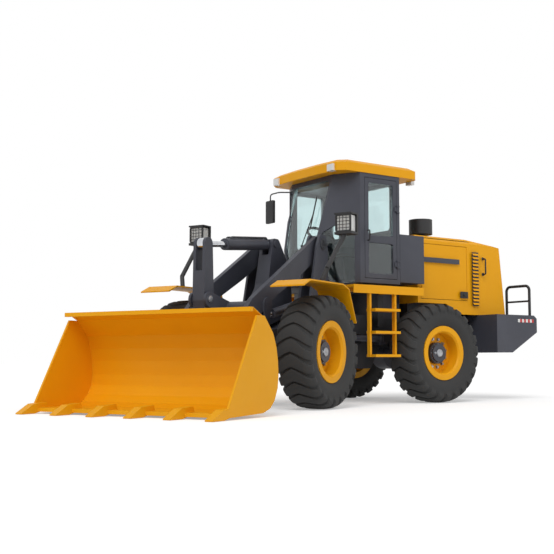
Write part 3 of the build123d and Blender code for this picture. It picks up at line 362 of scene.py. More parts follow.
def bolt_head(across: float, height: float) -> Surface:
    """Hexagon head on a washer, standing on the local XY plane."""
    hexagon = ring(across / math.sqrt(3), 6)
    washer = turned([(0, 0), (across * 0.72, 0), (across * 0.72, height * 0.18), (0, height * 0.18)], 18)
    head = stacked(hexagon, [(0, height * 0.15), (0, height * 0.85), (across * 0.09, height)])
    return Surface.join([washer, head])


def bolt_circle(head: Surface, radius: float, count: int, height: float, phase: float = 0.0) -> Surface:
    """Copies of a head on a circle about local Z."""
    turn = np.arange(count) * 2 * math.pi / count + phase
    places = np.column_stack([radius * np.cos(turn), radius * np.sin(turn), np.full(count, height)])
    return head.scattered(np.broadcast_to(np.eye(3), (count, 3, 3)), places)


# Finishes


class Bench:
    """Node tree with short calls to add and join nodes."""

    def __init__(self, tree: bpy.types.NodeTree) -> None:
        """Keeps the tree and empties it."""
        self.tree = tree
        tree.nodes.clear()

    def add(self, kind: str, values: Optional[dict[str, object]] = None, **settings: object) -> bpy.types.Node:
        """A new node.

        Args:
            kind: Blender's name of the node type.
            values: Values or output sockets for the node's inputs, by socket name.
            settings: Values for the node's own properties.

        Returns:
            The node.
        """
        node = self.tree.nodes.new(kind)
        for name, value in settings.items():
            setattr(node, name, value)
        for name, value in (values or {}).items():
            if isinstance(value, bpy.types.NodeSocket):
                self.tree.links.new(value, node.inputs[name])
            else:
                node.inputs[name].default_value = value
        return node

    def math(self, operation: str, first: object, second: object = 0.0, clamp: bool = False) -> bpy.types.NodeSocket:
        """Output of a math node on two values or sockets."""
        node = self.add("ShaderNodeMath", operation=operation, use_clamp=clamp)
        for socket, value in zip(node.inputs, (first, second)):
            if isinstance(value, bpy.types.NodeSocket):
                self.tree.links.new(value, socket)
            else:
                socket.default_value = value
        return node.outputs[0]

    def mix(self, share: object, low: object, high: object) -> bpy.types.NodeSocket:
        """Colour between two colours or colour sockets."""
        node = self.add("ShaderNodeMix", data_type="RGBA")
        for name, value in (("Factor_Float", share), ("A_Color", low), ("B_Color", high)):
            socket = next(item for item in node.inputs if item.identifier == name)
            if isinstance(value, bpy.types.NodeSocket):
                self.tree.links.new(value, socket)
            else:
                socket.default_value = (*value, 1.0) if isinstance(value, tuple) else value
        return next(item for item in node.outputs if item.identifier == "Result_Color")

    def span(self, value: bpy.types.NodeSocket, low: float, high: float) -> bpy.types.NodeSocket:
        """A zero-to-one value spread from low to high."""
        return self.add("ShaderNodeMapRange", {"Value": value, "To Min": low, "To Max": high}).outputs["Result"]


class Effects:
    """Shader effects that several finishes share, each a node group built once."""

    @staticmethod
    def group(name: str, inputs: dict[str, float], outputs: dict[str, str],
              fill: Callable[[Bench, bpy.types.Node, bpy.types.Node], None]) -> bpy.types.NodeTree:
        """A node group by name, made on its first use.

        Args:
            name: Name of the group.
            inputs: Float inputs with their defaults.
            outputs: Socket type of each output.
            fill: Puts the nodes between the group's input and output nodes.

        Returns:
            The group.
        """
        found = bpy.data.node_groups.get(name)
        if found is not None:
            return found
        tree = bpy.data.node_groups.new(name, "ShaderNodeTree")
        bench = Bench(tree)
        for label, value in inputs.items():
            tree.interface.new_socket(label, in_out="INPUT", socket_type="NodeSocketFloat").default_value = value
        for label, kind in outputs.items():
            tree.interface.new_socket(label, in_out="OUTPUT", socket_type=kind)
        fill(bench, bench.add("NodeGroupInput"), bench.add("NodeGroupOutput"))
        return tree

    @classmethod
    def tone(cls) -> bpy.types.NodeTree:
        """Broad uneven tone: noise at the scale, stretched to fill zero to one."""

        def fill(bench: Bench, given: bpy.types.Node, out: bpy.types.Node) -> None:
            """Noise on Object coordinates."""
            place = bench.add("ShaderNodeTexCoord").outputs["Object"]
            noise = bench.add("ShaderNodeTexNoise", {"Vector": place, "Scale": given.outputs["Scale"], "Detail": 5.0,
                                                     "Roughness": 0.6})
            stretched = bench.add("ShaderNodeMapRange", {"Value": noise.outputs["Fac"], "From Min": 0.3,
                                                         "From Max": 0.7})
            bench.tree.links.new(stretched.outputs["Result"], out.inputs["Tone"])

        return cls.group("uneven_tone", {"Scale": 1.0}, {"Tone": "NodeSocketFloat"}, fill)

    @classmethod
    def edges(cls) -> bpy.types.NodeTree:
        """Rounded edges: the bevelled normal, and a mask of how far it leaves the flat one, which places the painted
        edge highlight.
        """

        def fill(bench: Bench, given: bpy.types.Node, out: bpy.types.Node) -> None:
            """Bevelled normal against the true one."""
            soft = bench.add("ShaderNodeBevel", {"Radius": given.outputs["Radius"]}, samples=4).outputs["Normal"]
            flat = bench.add("ShaderNodeNewGeometry").outputs["Normal"]
            product = bench.add("ShaderNodeVectorMath", operation="DOT_PRODUCT")
            bench.tree.links.new(soft, product.inputs[0])
            bench.tree.links.new(flat, product.inputs[1])
            gap = bench.math("SUBTRACT", 1.0, product.outputs["Value"], clamp=True)
            bench.tree.links.new(bench.math("MULTIPLY", gap, 4.0, clamp=True), out.inputs["Edge"])
            bench.tree.links.new(soft, out.inputs["Normal"])

        return cls.group("round_edges", {"Radius": 0.005}, {"Normal": "NodeSocketVector", "Edge": "NodeSocketFloat"},
                         fill)

    @classmethod
    def dust(cls) -> bpy.types.NodeTree:
        """Dust that thins out with height: one at the ground, none above the reach, broken up by noise."""

        def fill(bench: Bench, given: bpy.types.Node, out: bpy.types.Node) -> None:
            """Height above ground times noise."""
            place = bench.add("ShaderNodeTexCoord").outputs["Object"]
            height = bench.add("ShaderNodeSeparateXYZ", {"Vector": place}).outputs["Z"]
            fall = bench.math("SUBTRACT", 1.0, bench.math("DIVIDE", height, given.outputs["Reach"]), clamp=True)
            noise = bench.add("ShaderNodeTexNoise", {"Vector": place, "Scale": 7.0, "Detail": 6.0})
            broken = bench.math("MULTIPLY", fall, bench.span(noise.outputs["Fac"], -0.3, 1.5), clamp=True)
            bench.tree.links.new(broken, out.inputs["Mask"])

        return cls.group("ground_dust", {"Reach": 1.0}, {"Mask": "NodeSocketFloat"}, fill)

    @classmethod
    def grain(cls) -> bpy.types.NodeTree:
        """Fine grain: two noises, one four times as fine, added as a height."""

        def fill(bench: Bench, given: bpy.types.Node, out: bpy.types.Node) -> None:
            """Coarse and fine noise."""
            place = bench.add("ShaderNodeTexCoord").outputs["Object"]
            scale = given.outputs["Scale"]
            coarse = bench.add("ShaderNodeTexNoise", {"Vector": place, "Scale": scale, "Detail": 2.0})
            fine = bench.add("ShaderNodeTexNoise", {"Vector": place, "Scale": bench.math("MULTIPLY", scale, 4.0)})
            total = bench.math("ADD", coarse.outputs["Fac"], bench.math("MULTIPLY", fine.outputs["Fac"], 0.5))
            bench.tree.links.new(total, out.inputs["Height"])

        return cls.group("fine_grain", {"Scale": 300.0}, {"Height": "NodeSocketFloat"}, fill)


@dataclass(frozen=True)
class Finish:
    """A surface finish: colours, gloss and grain of one material, and the painted highlight of its rounded edges."""

    name: str
    base: Colour
    shade: Colour
    rough: tuple[float, float] = (0.35, 0.5)
    metallic: float = 0.0
    coat: float = 0.0
    tone_scale: float = 1.5
    grain_scale: float = 300.0
    grain: float = 0.05
    edge_radius: float = 0.0
    # Painted highlight on rounded edges: its lighter colour and how strongly it shows.
    edge_highlight_colour: Colour = (0.6, 0.6, 0.6)
    edge_highlight_share: float = 0.0
    dust_share: float = 0.0
    dust_reach: float = 1.2
    transmission: float = 0.0
    specular: float = 0.5

    def material(self) -> bpy.types.Material:
        """The material of this finish, made on its first use.

        Returns:
            The material.
        """
        found = bpy.data.materials.get(self.name)
        if found is not None:
            return found
        made = bpy.data.materials.new(self.name)
        made.use_nodes = True
        bench = Bench(made.node_tree)
        shader = bench.add("ShaderNodeBsdfPrincipled", {
            "Metallic": self.metallic, "Coat Weight": self.coat, "Coat Roughness": 0.12,
            "Transmission Weight": self.transmission, "Specular IOR Level": self.specular,
        })
        output = bench.add("ShaderNodeOutputMaterial", {"Surface": shader.outputs["BSDF"]})
        output.location.x = 400
        tone = bench.add("ShaderNodeGroup", node_tree=Effects.tone())
        tone.inputs["Scale"].default_value = self.tone_scale
        colour = bench.mix(tone.outputs["Tone"], self.base, self.shade)
        normal = None
        if self.edge_radius > 0:
            edges = bench.add("ShaderNodeGroup", node_tree=Effects.edges())
            edges.inputs["Radius"].default_value = self.edge_radius
            normal = edges.outputs["Normal"]
            # Painted highlight: the bevel mask, broken up by the tone, mixes the colour towards the lighter edge
            # colour.
            if self.edge_highlight_share > 0:
                edge_highlight = bench.math("MULTIPLY", edges.outputs["Edge"], self.edge_highlight_share)
                colour = bench.mix(bench.math("MULTIPLY", edge_highlight, tone.outputs["Tone"]), colour, self.edge_highlight_colour)
        if self.dust_share > 0:
            dust = bench.add("ShaderNodeGroup", node_tree=Effects.dust())
            dust.inputs["Reach"].default_value = self.dust_reach
            share = bench.math("MULTIPLY", dust.outputs["Mask"], self.dust_share)
            colour = bench.mix(share, colour, srgb(150, 140, 125))
        links = made.node_tree.links
        links.new(colour, shader.inputs["Base Color"])
        links.new(bench.span(tone.outputs["Tone"], *self.rough), shader.inputs["Roughness"])
        if self.grain > 0:
            grain = bench.add("ShaderNodeGroup", node_tree=Effects.grain())
            grain.inputs["Scale"].default_value = self.grain_scale
            bump = bench.add("ShaderNodeBump", {"Strength": self.grain, "Distance": 0.002,
                                                "Height": grain.outputs["Height"]})
            if normal is not None:
                links.new(normal, bump.inputs["Normal"])
            normal = bump.outputs["Normal"]
        if normal is not None:
            links.new(normal, shader.inputs["Normal"])
        return made


# Each edge colour below is a painted highlight, a lighter version of the base, laid on rounded edges.
YELLOW = Finish("yellow_enamel", srgb(238, 168, 6), srgb(233, 162, 5), (0.42, 0.52), grain=0.03, specular=0.22,
                grain_scale=160.0, edge_radius=0.006, edge_highlight_colour=srgb(246, 190, 50), edge_highlight_share=0.2, dust_share=0.03)
SLATE = Finish("slate_enamel", srgb(66, 68, 78), srgb(58, 60, 69), (0.4, 0.52), coat=0.05, grain=0.04, specular=0.35,
               grain_scale=180.0, edge_radius=0.006, edge_highlight_colour=srgb(110, 113, 122), edge_highlight_share=0.3, dust_share=0.06)
CHARCOAL = Finish("charcoal_enamel", srgb(44, 46, 52), srgb(37, 39, 44), (0.42, 0.55), grain=0.05, grain_scale=180.0,
                  edge_radius=0.005, edge_highlight_colour=srgb(90, 92, 98), edge_highlight_share=0.3, dust_share=0.12)
RED = Finish("red_reflector", srgb(196, 32, 28), srgb(180, 26, 24), (0.25, 0.35), grain=0.1, grain_scale=200.0)
WHITE = Finish("white_reflector", srgb(232, 232, 230), srgb(222, 222, 220), (0.25, 0.35), grain=0.1, grain_scale=200.0)
RUBBER = Finish("tyre_rubber", srgb(35, 36, 39), srgb(27, 28, 31), (0.62, 0.8), tone_scale=9.0, grain=0.35,
                grain_scale=220.0, edge_radius=0.006, edge_highlight_colour=srgb(70, 70, 72), edge_highlight_share=0.3, dust_share=0.04)
STEEL = Finish("plated_rod", srgb(214, 216, 220), srgb(196, 199, 204), (0.12, 0.22), metallic=1.0, grain=0.04,
               grain_scale=500.0, tone_scale=14.0)
BRIGHT = Finish("bright_fastener", srgb(170, 172, 176), srgb(140, 142, 146), (0.28, 0.42), metallic=1.0, grain=0.1,
                tone_scale=30.0)
GLASS = Finish("tinted_pane", srgb(226, 240, 240), srgb(220, 236, 237), (0.0, 0.015), grain=0.0, tone_scale=3.0,
               transmission=1.0)
TRIM = Finish("black_moulding", srgb(30, 30, 32), srgb(24, 24, 26), (0.5, 0.66), grain=0.3, grain_scale=600.0,
              edge_radius=0.003, dust_share=0.06)
LENS = Finish("lamp_lens", srgb(232, 234, 236), srgb(214, 217, 220), (0.08, 0.16), grain=0.6, grain_scale=70.0,
              coat=0.6, tone_scale=40.0)
IRON = Finish("cast_iron", srgb(62, 63, 66), srgb(50, 51, 54), (0.5, 0.65), metallic=0.3, grain=0.4,
              grain_scale=120.0, edge_radius=0.005, dust_share=0.15)
VINYL = Finish("seat_vinyl", srgb(52, 54, 58), srgb(44, 46, 50), (0.5, 0.62), grain=0.35, grain_scale=420.0)

SLOT_FINISH = {
    Slot.YELLOW: YELLOW, Slot.SLATE: SLATE, Slot.RUBBER: RUBBER, Slot.STEEL: STEEL, Slot.GLASS: GLASS,
    Slot.TRIM: TRIM, Slot.LENS: LENS, Slot.IRON: IRON,
}


@dataclass(frozen=True)
class Mounting:
    """How a piece is carried: the half it is measured in, its body, its slot and its finish."""

    station: Station
    body: str
    slot: Slot
    finish: Finish

    def fix(self, name: str, surface: Surface, smooth: float = 40.0, bevel: float = 0.0,
            replaces: Sequence[str] = ()) -> bpy.types.Object:
        """Makes an object of a surface and fixes it to its body.

        Args:
            name: Name of the piece.
            surface: Its shape, in millimetres.
            smooth: Angle in degrees under which neighbouring faces shade as one.
            bevel: Width in metres of a bevel on its sharp edges, or zero.
            replaces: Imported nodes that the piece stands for.

        Returns:
            The object.
        """
        mesh = bpy.data.meshes.new(name)
        mesh.from_pydata(self.station.place(surface.points).tolist(), [], surface.quads.tolist())
        work = bmesh.new()
        work.from_mesh(mesh)
        bmesh.ops.remove_doubles(work, verts=work.verts, dist=2e-5)
        bmesh.ops.dissolve_degenerate(work, edges=work.edges, dist=1e-6)
        bmesh.ops.recalc_face_normals(work, faces=work.faces)
        work.to_mesh(mesh)
        work.free()
        mesh.polygons.foreach_set("use_smooth", np.ones(len(mesh.polygons), bool))
        mesh.set_sharp_from_angle(angle=math.radians(smooth))
        piece = bpy.data.objects.new(name, mesh)
        bpy.context.scene.collection.objects.link(piece)
        mesh.materials.append(self.finish.material())
        if bevel > 0:
            modifier = piece.modifiers.new("edges", "BEVEL")
            modifier.width, modifier.segments, modifier.limit_method = bevel, 2, "ANGLE"
        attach(piece, self.body)
        if replaces:
            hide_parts(*replaces)
        LOG.info("piece %s on %s: %d faces", name, self.body, len(mesh.polygons))
        return piece


# Sub-assemblies


@dataclass
class Wheels:
    """Four lugged tyres and the fastenings of their rims and hubs."""

    axle_from_pin: float = 1420.0
    half_tread: float = 925.0
    radius: float = 655.0
    lugs: int = 24
    lug_height: float = 27.0
    chevron: float = 105.0
    groove_centre: float = 30.0
    groove_shoulder: float = 75.0
    fade_start: float = 520.0
    fade_span: float = 45.0
    lean_reach: float = 200.0
    across: int = 34
    section: tuple[tuple[float, float], ...] = (
        (0, 627), (60, 626.5), (120, 622), (165, 612), (192, 590), (209, 553), (219, 500), (216, 445), (199, 400),
        (176, 362), (158, 332), (156, 319),
    )

    def lug_rows(self) -> tuple[Array, Array]:
        """Places within one pitch at which the tyre has a row of points, and the lug's height there.

        Returns:
            Places, from 0 to 1 over the lug and past that in half grooves, and shares of the full lug height.
        """
        shares = np.array([-1.0, -0.62, -0.3, 0.0, 0.1, 0.35, 0.65, 0.9, 1.0, 1.3, 1.62])
        heights = np.array([0.0, 0.0, 0.0, 0.93, 1.0, 1.0, 1.0, 1.0, 0.93, 0.0, 0.0])
        return shares, heights

    def half_shape(self) -> Array:
        """One half of the tyre, as a grid over its turn and its section.

        The section runs from the tread's middle over the shoulder to the bead. Each lug is a band between two lines
        that lean back by the chevron as they go outwards, so the rows of the grid follow its edges, and its points
        stand out from the section's normal by the lug height, which fades out below the shoulder.

        Returns:
            Points (turn, section, 3) about local Y, in millimetres.
        """
        curve = spline(self.section, self.across)
        offset, base = curve.T
        slope = np.gradient(curve, axis=0)
        normal = unit(np.column_stack([-slope[:, 1], slope[:, 0]]))
        normal *= np.where(normal[:, 1:2] + normal[:, :1] >= 0, 1.0, -1.0)
        fade = np.clip((base - self.fade_start) / self.fade_span, 0.0, 1.0)
        fade = fade * fade * (3 - 2 * fade)
        lean = np.clip(offset / self.lean_reach, 0.0, 1.0)
        pitch = 2 * math.pi / self.lugs
        groove = (self.groove_centre + (self.groove_shoulder - self.groove_centre) * lean**1.6) / self.radius
        back = self.chevron / self.radius * (lean - 0.12 * np.sin(math.pi * lean))
        rows, heights = self.lug_rows()
        inside = np.clip(rows, 0.0, 1.0)
        beyond = rows - inside
        turn = inside[:, None] * (pitch - groove)[None] + beyond[:, None] * groove[None] * 0.5
        turn = turn[None] + (np.arange(self.lugs) * pitch)[:, None, None] - back[None, None]
        turn = turn[:, 1:-1].reshape(-1, self.across)
        height = np.tile(heights[1:-1], self.lugs)[:, None] * self.lug_height * fade[None]
        reach = base[None] + height * normal[None, :, 1]
        out = offset[None] + height * normal[None, :, 0]
        return np.stack([reach * np.cos(turn), out, reach * np.sin(turn)], axis=-1)

    def tyre(self) -> Surface:
        """Both halves of the tyre, closed between its beads by a short seat band."""
        half = self.half_shape()
        outer = Surface.grid(half, wrap_u=True)
        inner = Surface(outer.points * np.array([1.0, -1.0, 1.0]), outer.quads[:, ::-1])
        bead = half[:, -1]
        seat = np.stack([bead, bead * np.array([1.0, -1.0, 1.0])], axis=1)
        return Surface.join([outer, inner, Surface.grid(seat, wrap_u=True)])

    def fastenings(self) -> Surface:
        """Bolt heads round the hub's cover and on the rim's disc, about local Y."""
        hub_face, disc_face = 102.0, 7.0
        cover = bolt_circle(bolt_head(19, 12), 112, 12, hub_face - 30)
        cap = turned([(0, hub_face), (52, hub_face), (52, hub_face + 8), (44, hub_face + 14), (0, hub_face + 14)], 32)
        plug = bolt_head(24, 14).moved(np.eye(3), (78, 0, hub_face))
        studs = bolt_circle(bolt_head(32, 24), 190, 12, disc_face, 0.2)
        spin = np.array([[1.0, 0.0, 0.0], [0.0, 0.0, 1.0], [0.0, -1.0, 0.0]])
        return Surface.join([cover, cap, plug, studs]).moved(spin, (0, 0, 0))

    def build(self) -> None:
        """Sets a tyre and its fastenings on each of the four wheels."""
        for end, station, sign in (("front", Station.FRONT, 1.0), ("rear", Station.REAR, -1.0)):
            for side, across in (("left", 1.0), ("right", -1.0)):
                spin = np.diag([1.0, 1.0, 1.0]) if across > 0 else np.diag([-1.0, -1.0, 1.0])
                centre = (sign * self.axle_from_pin, across * self.half_tread, self.radius)
                body = f"wheel_{end}_{side}"
                Mounting(station, body, Slot.RUBBER, RUBBER).fix(
                    f"lugged_tyre_{end}_{side}", self.tyre().moved(spin, centre), 32.0,
                    replaces=[f"tyre_{end}_{side}"])
                Mounting(station, body, Slot.STEEL, BRIGHT).fix(
                    f"wheel_bolts_{end}_{side}", self.fastenings().moved(spin, centre), 30.0)


def slab(low: Sequence[float], high: Sequence[float], edge: float = 1.2) -> Surface:
    """Box between two corners, with its edges rounded."""
    start, end = np.asarray(low, float), np.asarray(high, float)
    return soft_box(end - start, edge * 1.2, edge, 3).moved(np.eye(3), (start + end) / 2)


def node_surface(name: str, station: Station) -> Surface:
    """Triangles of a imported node's mesh, in millimetres of its half.

    Args:
        name: Name of the node.
        station: Half of the machine that it is measured in.

    Returns:
        The node's surface, with three corners a face.
    """
    node = frame["nodes"][name]
    mesh = node.data
    mesh.calc_loop_triangles()
    points = np.empty(len(mesh.vertices) * 3)
    mesh.vertices.foreach_get("co", points)
    corners = np.empty(len(mesh.loop_triangles) * 3, np.int32)
    mesh.loop_triangles.foreach_get("vertices", corners)
    place = np.array(node.matrix_world)
    world = points.reshape(-1, 3) @ place[:3, :3].T + place[:3, 3]
    return Surface(station.local(world), corners.reshape(-1, 3))


@dataclass
class Hood:
    """Fittings on both sides of the hood: dark band, latch, louvred panel and grab rail."""

    band: tuple[float, float, float, float] = (-2180.0, -1470.0, 1907.0, 1976.0)
    latch: tuple[float, float, float, float] = (-2340.0, -2190.0, 1432.0, 1525.0)
    louvre: tuple[float, float, float, float] = (-2562.0, -2434.0, 1330.0, 2100.0)
    slats: int = 15
    wall: float = field(init=False)

    def __post_init__(self) -> None:
        """Reads the outer face of the left door."""
        self.wall = float(node_surface("hood_door_left", Station.REAR).points[:, 1].max())

    def plate(self, box: tuple[float, float, float, float], depth: float) -> Surface:
        """Plate on the wall over (x, x, z, z), standing out by a depth."""
        return slab((box[0], self.wall - 1.0, box[2]), (box[1], self.wall + depth, box[3]))

    def louvres(self) -> Surface:
        """Sloping slats: one thin slab, turned about its length so its top leans in, raised by equal steps."""
        start, end, low, high = self.louvre
        lean = math.radians(32.0)
        cos, sin = math.cos(lean), math.sin(lean)
        spin = np.array([[1.0, 0.0, 0.0], [0.0, cos, -sin], [0.0, sin, cos]])
        slat = soft_box((end - start - 14.0, 4.0, 36.0), 1.5, 1.0, 3).moved(spin, (0.0, 0.0, 0.0))
        height = np.linspace(low + 32.0, high - 32.0, self.slats)
        middle, out = np.full_like(height, (start + end) / 2), np.full_like(height, self.wall + 9.0)
        places = np.column_stack([middle, out, height])
        return slat.scattered(np.broadcast_to(np.eye(3), (self.slats, 3, 3)), places)

    def rail(self) -> Surface:
        """Upright rail, bent in to the wall at both ends, on two round feet."""
        along, out, low, high = -2652.0, self.wall + 52.0, 1790.0, 2014.0
        knots = [(along, self.wall, low), (along, out, low), (along, out, high), (along, self.wall, high)]
        bar = tube(knots, 11.0, 30.0)
        foot = turned([(0, 0), (24, 0), (24, 5), (20, 8), (0, 8)], 20)
        feet = [foot.moved(frame_of((0, 1, 0)), (along, self.wall - 1.0, level)) for level in (low, high)]
        return Surface.join([bar, *feet])

    def build(self) -> None:
        """Sets the band and latch on each door and the rest on the hood."""
        band, latch = self.plate(self.band, 2.0), self.plate(self.latch, 5.0)
        knob = turned([(0, 0), (20, 0), (20, 10), (15, 15), (0, 15)], 24)
        centre = (sum(self.latch[:2]) / 2, self.wall + 4.0, sum(self.latch[2:]) / 2)
        latch = Surface.join([latch, knob.moved(frame_of((0, 1, 0)), centre)])
        for side in ("left", "right"):
            body = f"hood_door_{side}"
            turn = Surface.mirrored if side == "right" else (lambda surface: surface)
            Mounting(Station.REAR, body, Slot.SLATE, SLATE).fix(f"hood_band_{side}", turn(band), 30.0)
            Mounting(Station.REAR, body, Slot.TRIM, TRIM).fix(f"hood_latch_{side}", turn(latch), 30.0)
        root = "rear_frame"
        Mounting(Station.REAR, root, Slot.TRIM, TRIM).fix("louvre_backs", self.plate(self.louvre, 3.0).both(), 30.0)
        Mounting(Station.REAR, root, Slot.YELLOW, YELLOW).fix("louvre_slats", self.louvres().both(), 30.0)
        Mounting(Station.REAR, root, Slot.TRIM, TRIM).fix("hood_grab_rails", self.rail().both(), 40.0)


@dataclass
class Cab:
    """Fittings of the cab: mirror, front wiper, door handle and seat cushions."""

    mirror: tuple[float, float, float] = (75.0, -770.0, 2640.0)
    handle_x: float = -376.0

    def mirror_shape(self) -> Surface:
        """Rounded head that hangs on a bent arm from the front corner post."""
        x, y, z = self.mirror
        arm = tube([(-75, -455, 2890), (30, -620, 2905), (x, y, 2890), (x, y, z)], 9.0, 40.0)
        return Surface.join([arm, soft_box((50, 190, 320), 22, 16, 5).moved(np.eye(3), (x, y, z))])

    def wiper(self) -> Surface:
        """Arm and blade that lie along the leaning front pane."""
        arm = tube([(138, 60, 2070), (40, 200, 2510)], 7.0)
        blade = tube([(90, 188, 2290), (42, 200, 2510), (-6, 212, 2730)], 9.0, 60.0)
        post = turned([(0, 0), (18, 0), (18, 22), (12, 28), (0, 28)], 20).moved(frame_of((1, 0, 0.1)), (118, 60, 2070))
        return Surface.join([arm, blade, post])

    def handle(self) -> Surface:
        """Upright pull on the door's front stile."""
        wall = float(node_surface("cab_door", Station.REAR).points[:, 1].max())
        x, out = self.handle_x, wall + 38.0
        return tube([(x, wall - 2, 2110), (x, out, 2110), (x, out, 2240), (x, wall - 2, 2240)], 10.0, 18.0)

    def build(self) -> None:
        """Sets the fittings on the cab and its door, and cushions over the seat."""
        trim = Mounting(Station.REAR, "rear_frame", Slot.TRIM, TRIM)
        trim.fix("cab_mirror", self.mirror_shape(), 40.0)
        trim.fix("front_wiper", self.wiper(), 40.0)
        Mounting(Station.REAR, "cab_door", Slot.TRIM, TRIM).fix("cab_door_handle", self.handle(), 40.0)
        seat = Mounting(Station.REAR, "rear_frame", Slot.TRIM, VINYL).fix(
            "seat_cushions", node_surface("operator_seat", Station.REAR), 40.0, bevel=0.025, replaces=["operator_seat"])


@dataclass
class FrontFittings:
    """Lamp guards, boom pin covers and the pipes along the tilt cylinder."""

    lamp: tuple[float, float, float] = (1048.0, 1075.0, 2195.0)
    lamp_size: tuple[float, float] = (190.0, 200.0)
    boom_pin: tuple[float, float, float] = (480.0, 499.0, 2030.0)

    def guard(self) -> Surface:
        """Frame round the lens with upright and level wires across it."""
        x, y, z = self.lamp
        wide, high = self.lamp_size
        outline = rounded_rectangle(wide, high, 24.0, 5)
        path = np.column_stack([np.full(len(outline), x), y + outline[:, 0], z + outline[:, 1]])
        rim = sweep(path, rounded_rectangle(22.0, 22.0, 6.0, 4), closed=True, up=(1, 0, 0))
        level = [tube([(x + 8, y - wide / 2, z + step), (x + 8, y + wide / 2, z + step)], 4.0)
                 for step in (-60, -20, 20, 60)]
        upright = [tube([(x + 12, y + step, z - high / 2), (x + 12, y + step, z + high / 2)], 4.0)
                   for step in (-45, 0, 45)]
        return Surface.join([rim, *level, *upright])

    def pin_cover(self) -> Surface:
        """Round plate over the boom pin's end, with three bolts."""
        plate = turned([(0, 0), (78, 0), (78, 9), (74, 13), (0, 13)], 40)
        cover = Surface.join([plate, bolt_circle(bolt_head(24, 15), 50, 3, 12.0, 0.5)])
        return cover.moved(frame_of((0, 1, 0)), self.boom_pin)

    def pipes(self) -> Surface:
        """Two pipes that lie along the top of the tilt cylinder's barrel and dip in to it at their ends."""
        runs = [(1085, 2045), (1105, 2074), (1880, 1998), (1905, 1968)]
        pair = [tube([(x, side, z) for x, z in runs], 13.0, 24.0) for side in (-30.0, 30.0)]
        return Surface.join(pair)

    def build(self) -> None:
        """Fixes the guards and covers to the front frame and the pipes to the barrel."""
        Mounting(Station.FRONT, "front_frame", Slot.TRIM, TRIM).fix("lamp_guards", self.guard().both(), 40.0)
        covers = Mounting(Station.FRONT, "front_frame", Slot.SLATE, CHARCOAL)
        covers.fix("boom_pin_covers", self.pin_cover().both(), 30.0)
        Mounting(Station.FRONT, "tilt_barrel", Slot.SLATE, CHARCOAL).fix("tilt_pipes", self.pipes(), 40.0)


@dataclass
class Counterweight:
    """Red and white reflector strips on the counterweight's sides."""

    start: float = -3325.0
    end: float = -2993.0
    blocks: int = 8

    def strip(self, first: int) -> Surface:
        """Every second block of the strip, from the first one."""
        length = (self.end - self.start) / self.blocks
        block = slab((0.0, 998.0, 1100.0), (length, 1003.0, 1146.0), 0.8)
        along = self.start + np.arange(first, self.blocks, 2) * length
        places = np.column_stack([along, np.zeros_like(along), np.zeros_like(along)])
        return block.scattered(np.broadcast_to(np.eye(3), (len(along), 3, 3)), places).both()

    def build(self) -> None:
        """Sets the red and the white blocks."""
        Mounting(Station.REAR, "rear_frame", Slot.LENS, RED).fix("reflector_red", self.strip(0), 30.0)
        Mounting(Station.REAR, "rear_frame", Slot.LENS, WHITE).fix("reflector_white", self.strip(1), 30.0)


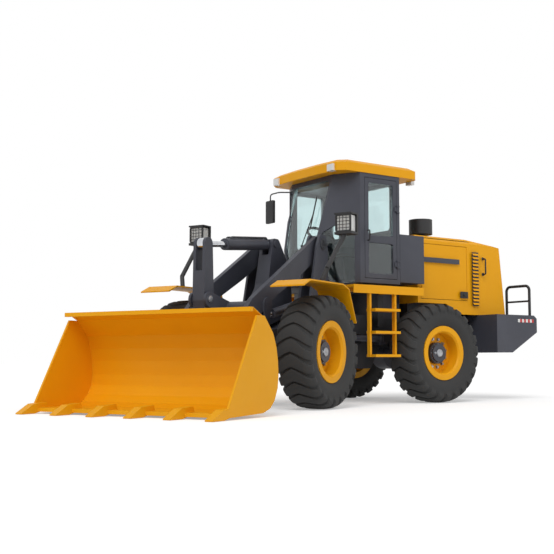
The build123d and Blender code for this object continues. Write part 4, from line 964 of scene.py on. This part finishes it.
@dataclass
class Studio:
    """Camera, soft light and pale floor."""

    eye: tuple[float, float, float] = (7.286, 9.478, 0.558)
    aim: tuple[float, float, float] = (0.023, -1.0485, 1.6708)
    lens: float = 62.25
    ambient: float = 0.46

    def camera(self) -> None:
        """Camera at the photograph's place."""
        data = bpy.data.cameras.new("camera")
        data.lens, data.sensor_width = self.lens, 36.0
        data.clip_start, data.clip_end = 0.1, 500.0
        seat = bpy.data.objects.new("camera", data)
        bpy.context.scene.collection.objects.link(seat)
        seat.location = self.eye
        seat.rotation_euler = (Vector(self.aim) - Vector(self.eye)).to_track_quat("-Z", "Y").to_euler()
        bpy.context.scene.camera = seat

    def lamp(self, name: str, strength: float, spread: float, toward: Sequence[float]) -> None:
        """Distant soft lamp.

        Args:
            name: Name of the lamp.
            strength: Its strength.
            spread: Angle in degrees that it fills.
            toward: Direction in which it shines.
        """
        data = bpy.data.lights.new(name, "SUN")
        data.energy, data.angle = strength, math.radians(spread)
        lamp = bpy.data.objects.new(name, data)
        bpy.context.scene.collection.objects.link(lamp)
        lamp.rotation_euler = Vector(toward).to_track_quat("-Z", "Y").to_euler()

    def backdrop_share(self, bench: Bench) -> bpy.types.NodeSocket:
        """One for rays that show the backdrop straight, in a mirror or through glass."""
        path = bench.add("ShaderNodeLightPath")
        seen = bench.math("ADD", path.outputs["Is Camera Ray"], path.outputs["Is Glossy Ray"], clamp=True)
        return bench.math("ADD", seen, path.outputs["Is Transmission Ray"], clamp=True)

    def world(self) -> None:
        """White surroundings that light the machine softly."""
        world = bpy.data.worlds.new("white_room")
        bpy.context.scene.world = world
        world.use_nodes = True
        bench = Bench(world.node_tree)
        strength = bench.span(self.backdrop_share(bench), self.ambient, 1.0)
        sky = bench.add("ShaderNodeBackground", {"Color": (1.0, 1.0, 1.0, 1.0), "Strength": strength})
        bench.add("ShaderNodeOutputWorld", {"Surface": sky.outputs["Background"]})

    def floor(self) -> None:
        """Pale floor that keeps the machine's shadow."""
        reach = 120.0
        mesh = bpy.data.meshes.new("floor")
        corners = [(-reach, -reach, 0), (reach, -reach, 0), (reach, reach, 0), (-reach, reach, 0)]
        mesh.from_pydata(corners, [], [(0, 1, 2, 3)])
        floor = bpy.data.objects.new("floor", mesh)
        bpy.context.scene.collection.objects.link(floor)
        made = bpy.data.materials.new("pale_floor")
        made.use_nodes = True
        bench = Bench(made.node_tree)
        matt = bench.add("ShaderNodeBsdfDiffuse", {"Color": (0.9, 0.9, 0.9, 1.0)})
        lift = bench.span(self.backdrop_share(bench), 0.0, 0.32)
        glow = bench.add("ShaderNodeEmission", {"Color": (1.0, 1.0, 1.0, 1.0), "Strength": lift})
        both = bench.add("ShaderNodeAddShader")
        made.node_tree.links.new(matt.outputs["BSDF"], both.inputs[0])
        made.node_tree.links.new(glow.outputs["Emission"], both.inputs[1])
        bench.add("ShaderNodeOutputMaterial", {"Surface": both.outputs["Shader"]})
        mesh.materials.append(made)

    def build(self) -> None:
        """Sets up the camera, the lamps, the surroundings and the floor."""
        bpy.context.scene.view_settings.view_transform = "Standard"
        self.camera()
        self.lamp("key", 1.35, 35.0, (-0.55, -0.5, -0.75))
        self.lamp("fill", 0.45, 70.0, (0.3, -0.85, -0.35))
        self.world()
        self.floor()


def dress_solids() -> None:
    """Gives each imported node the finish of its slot, with a few nodes in a finish of their own."""
    own = {"rear_frame": CHARCOAL, "cab_mounts": CHARCOAL}
    for part in frame["record"]["subparts"]:
        finish = own.get(part["node"], SLOT_FINISH[Slot(part["material_slot"])])
        node = frame["nodes"][part["node"]]
        node.data.materials.clear()
        node.data.materials.append(finish.material())
        LOG.info("node %s in %s", part["node"], finish.name)


def main() -> None:
    """Builds the scene in order."""
    logging.basicConfig(level=logging.INFO, format="%(name)s: %(message)s")
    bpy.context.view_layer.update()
    Studio().build()
    dress_solids()
    for assembly in (Wheels(), Hood(), Cab(), FrontFittings(), Counterweight()):
        assembly.build()
        LOG.info("built %s", type(assembly).__name__)


if __name__ == "__main__":
    main()
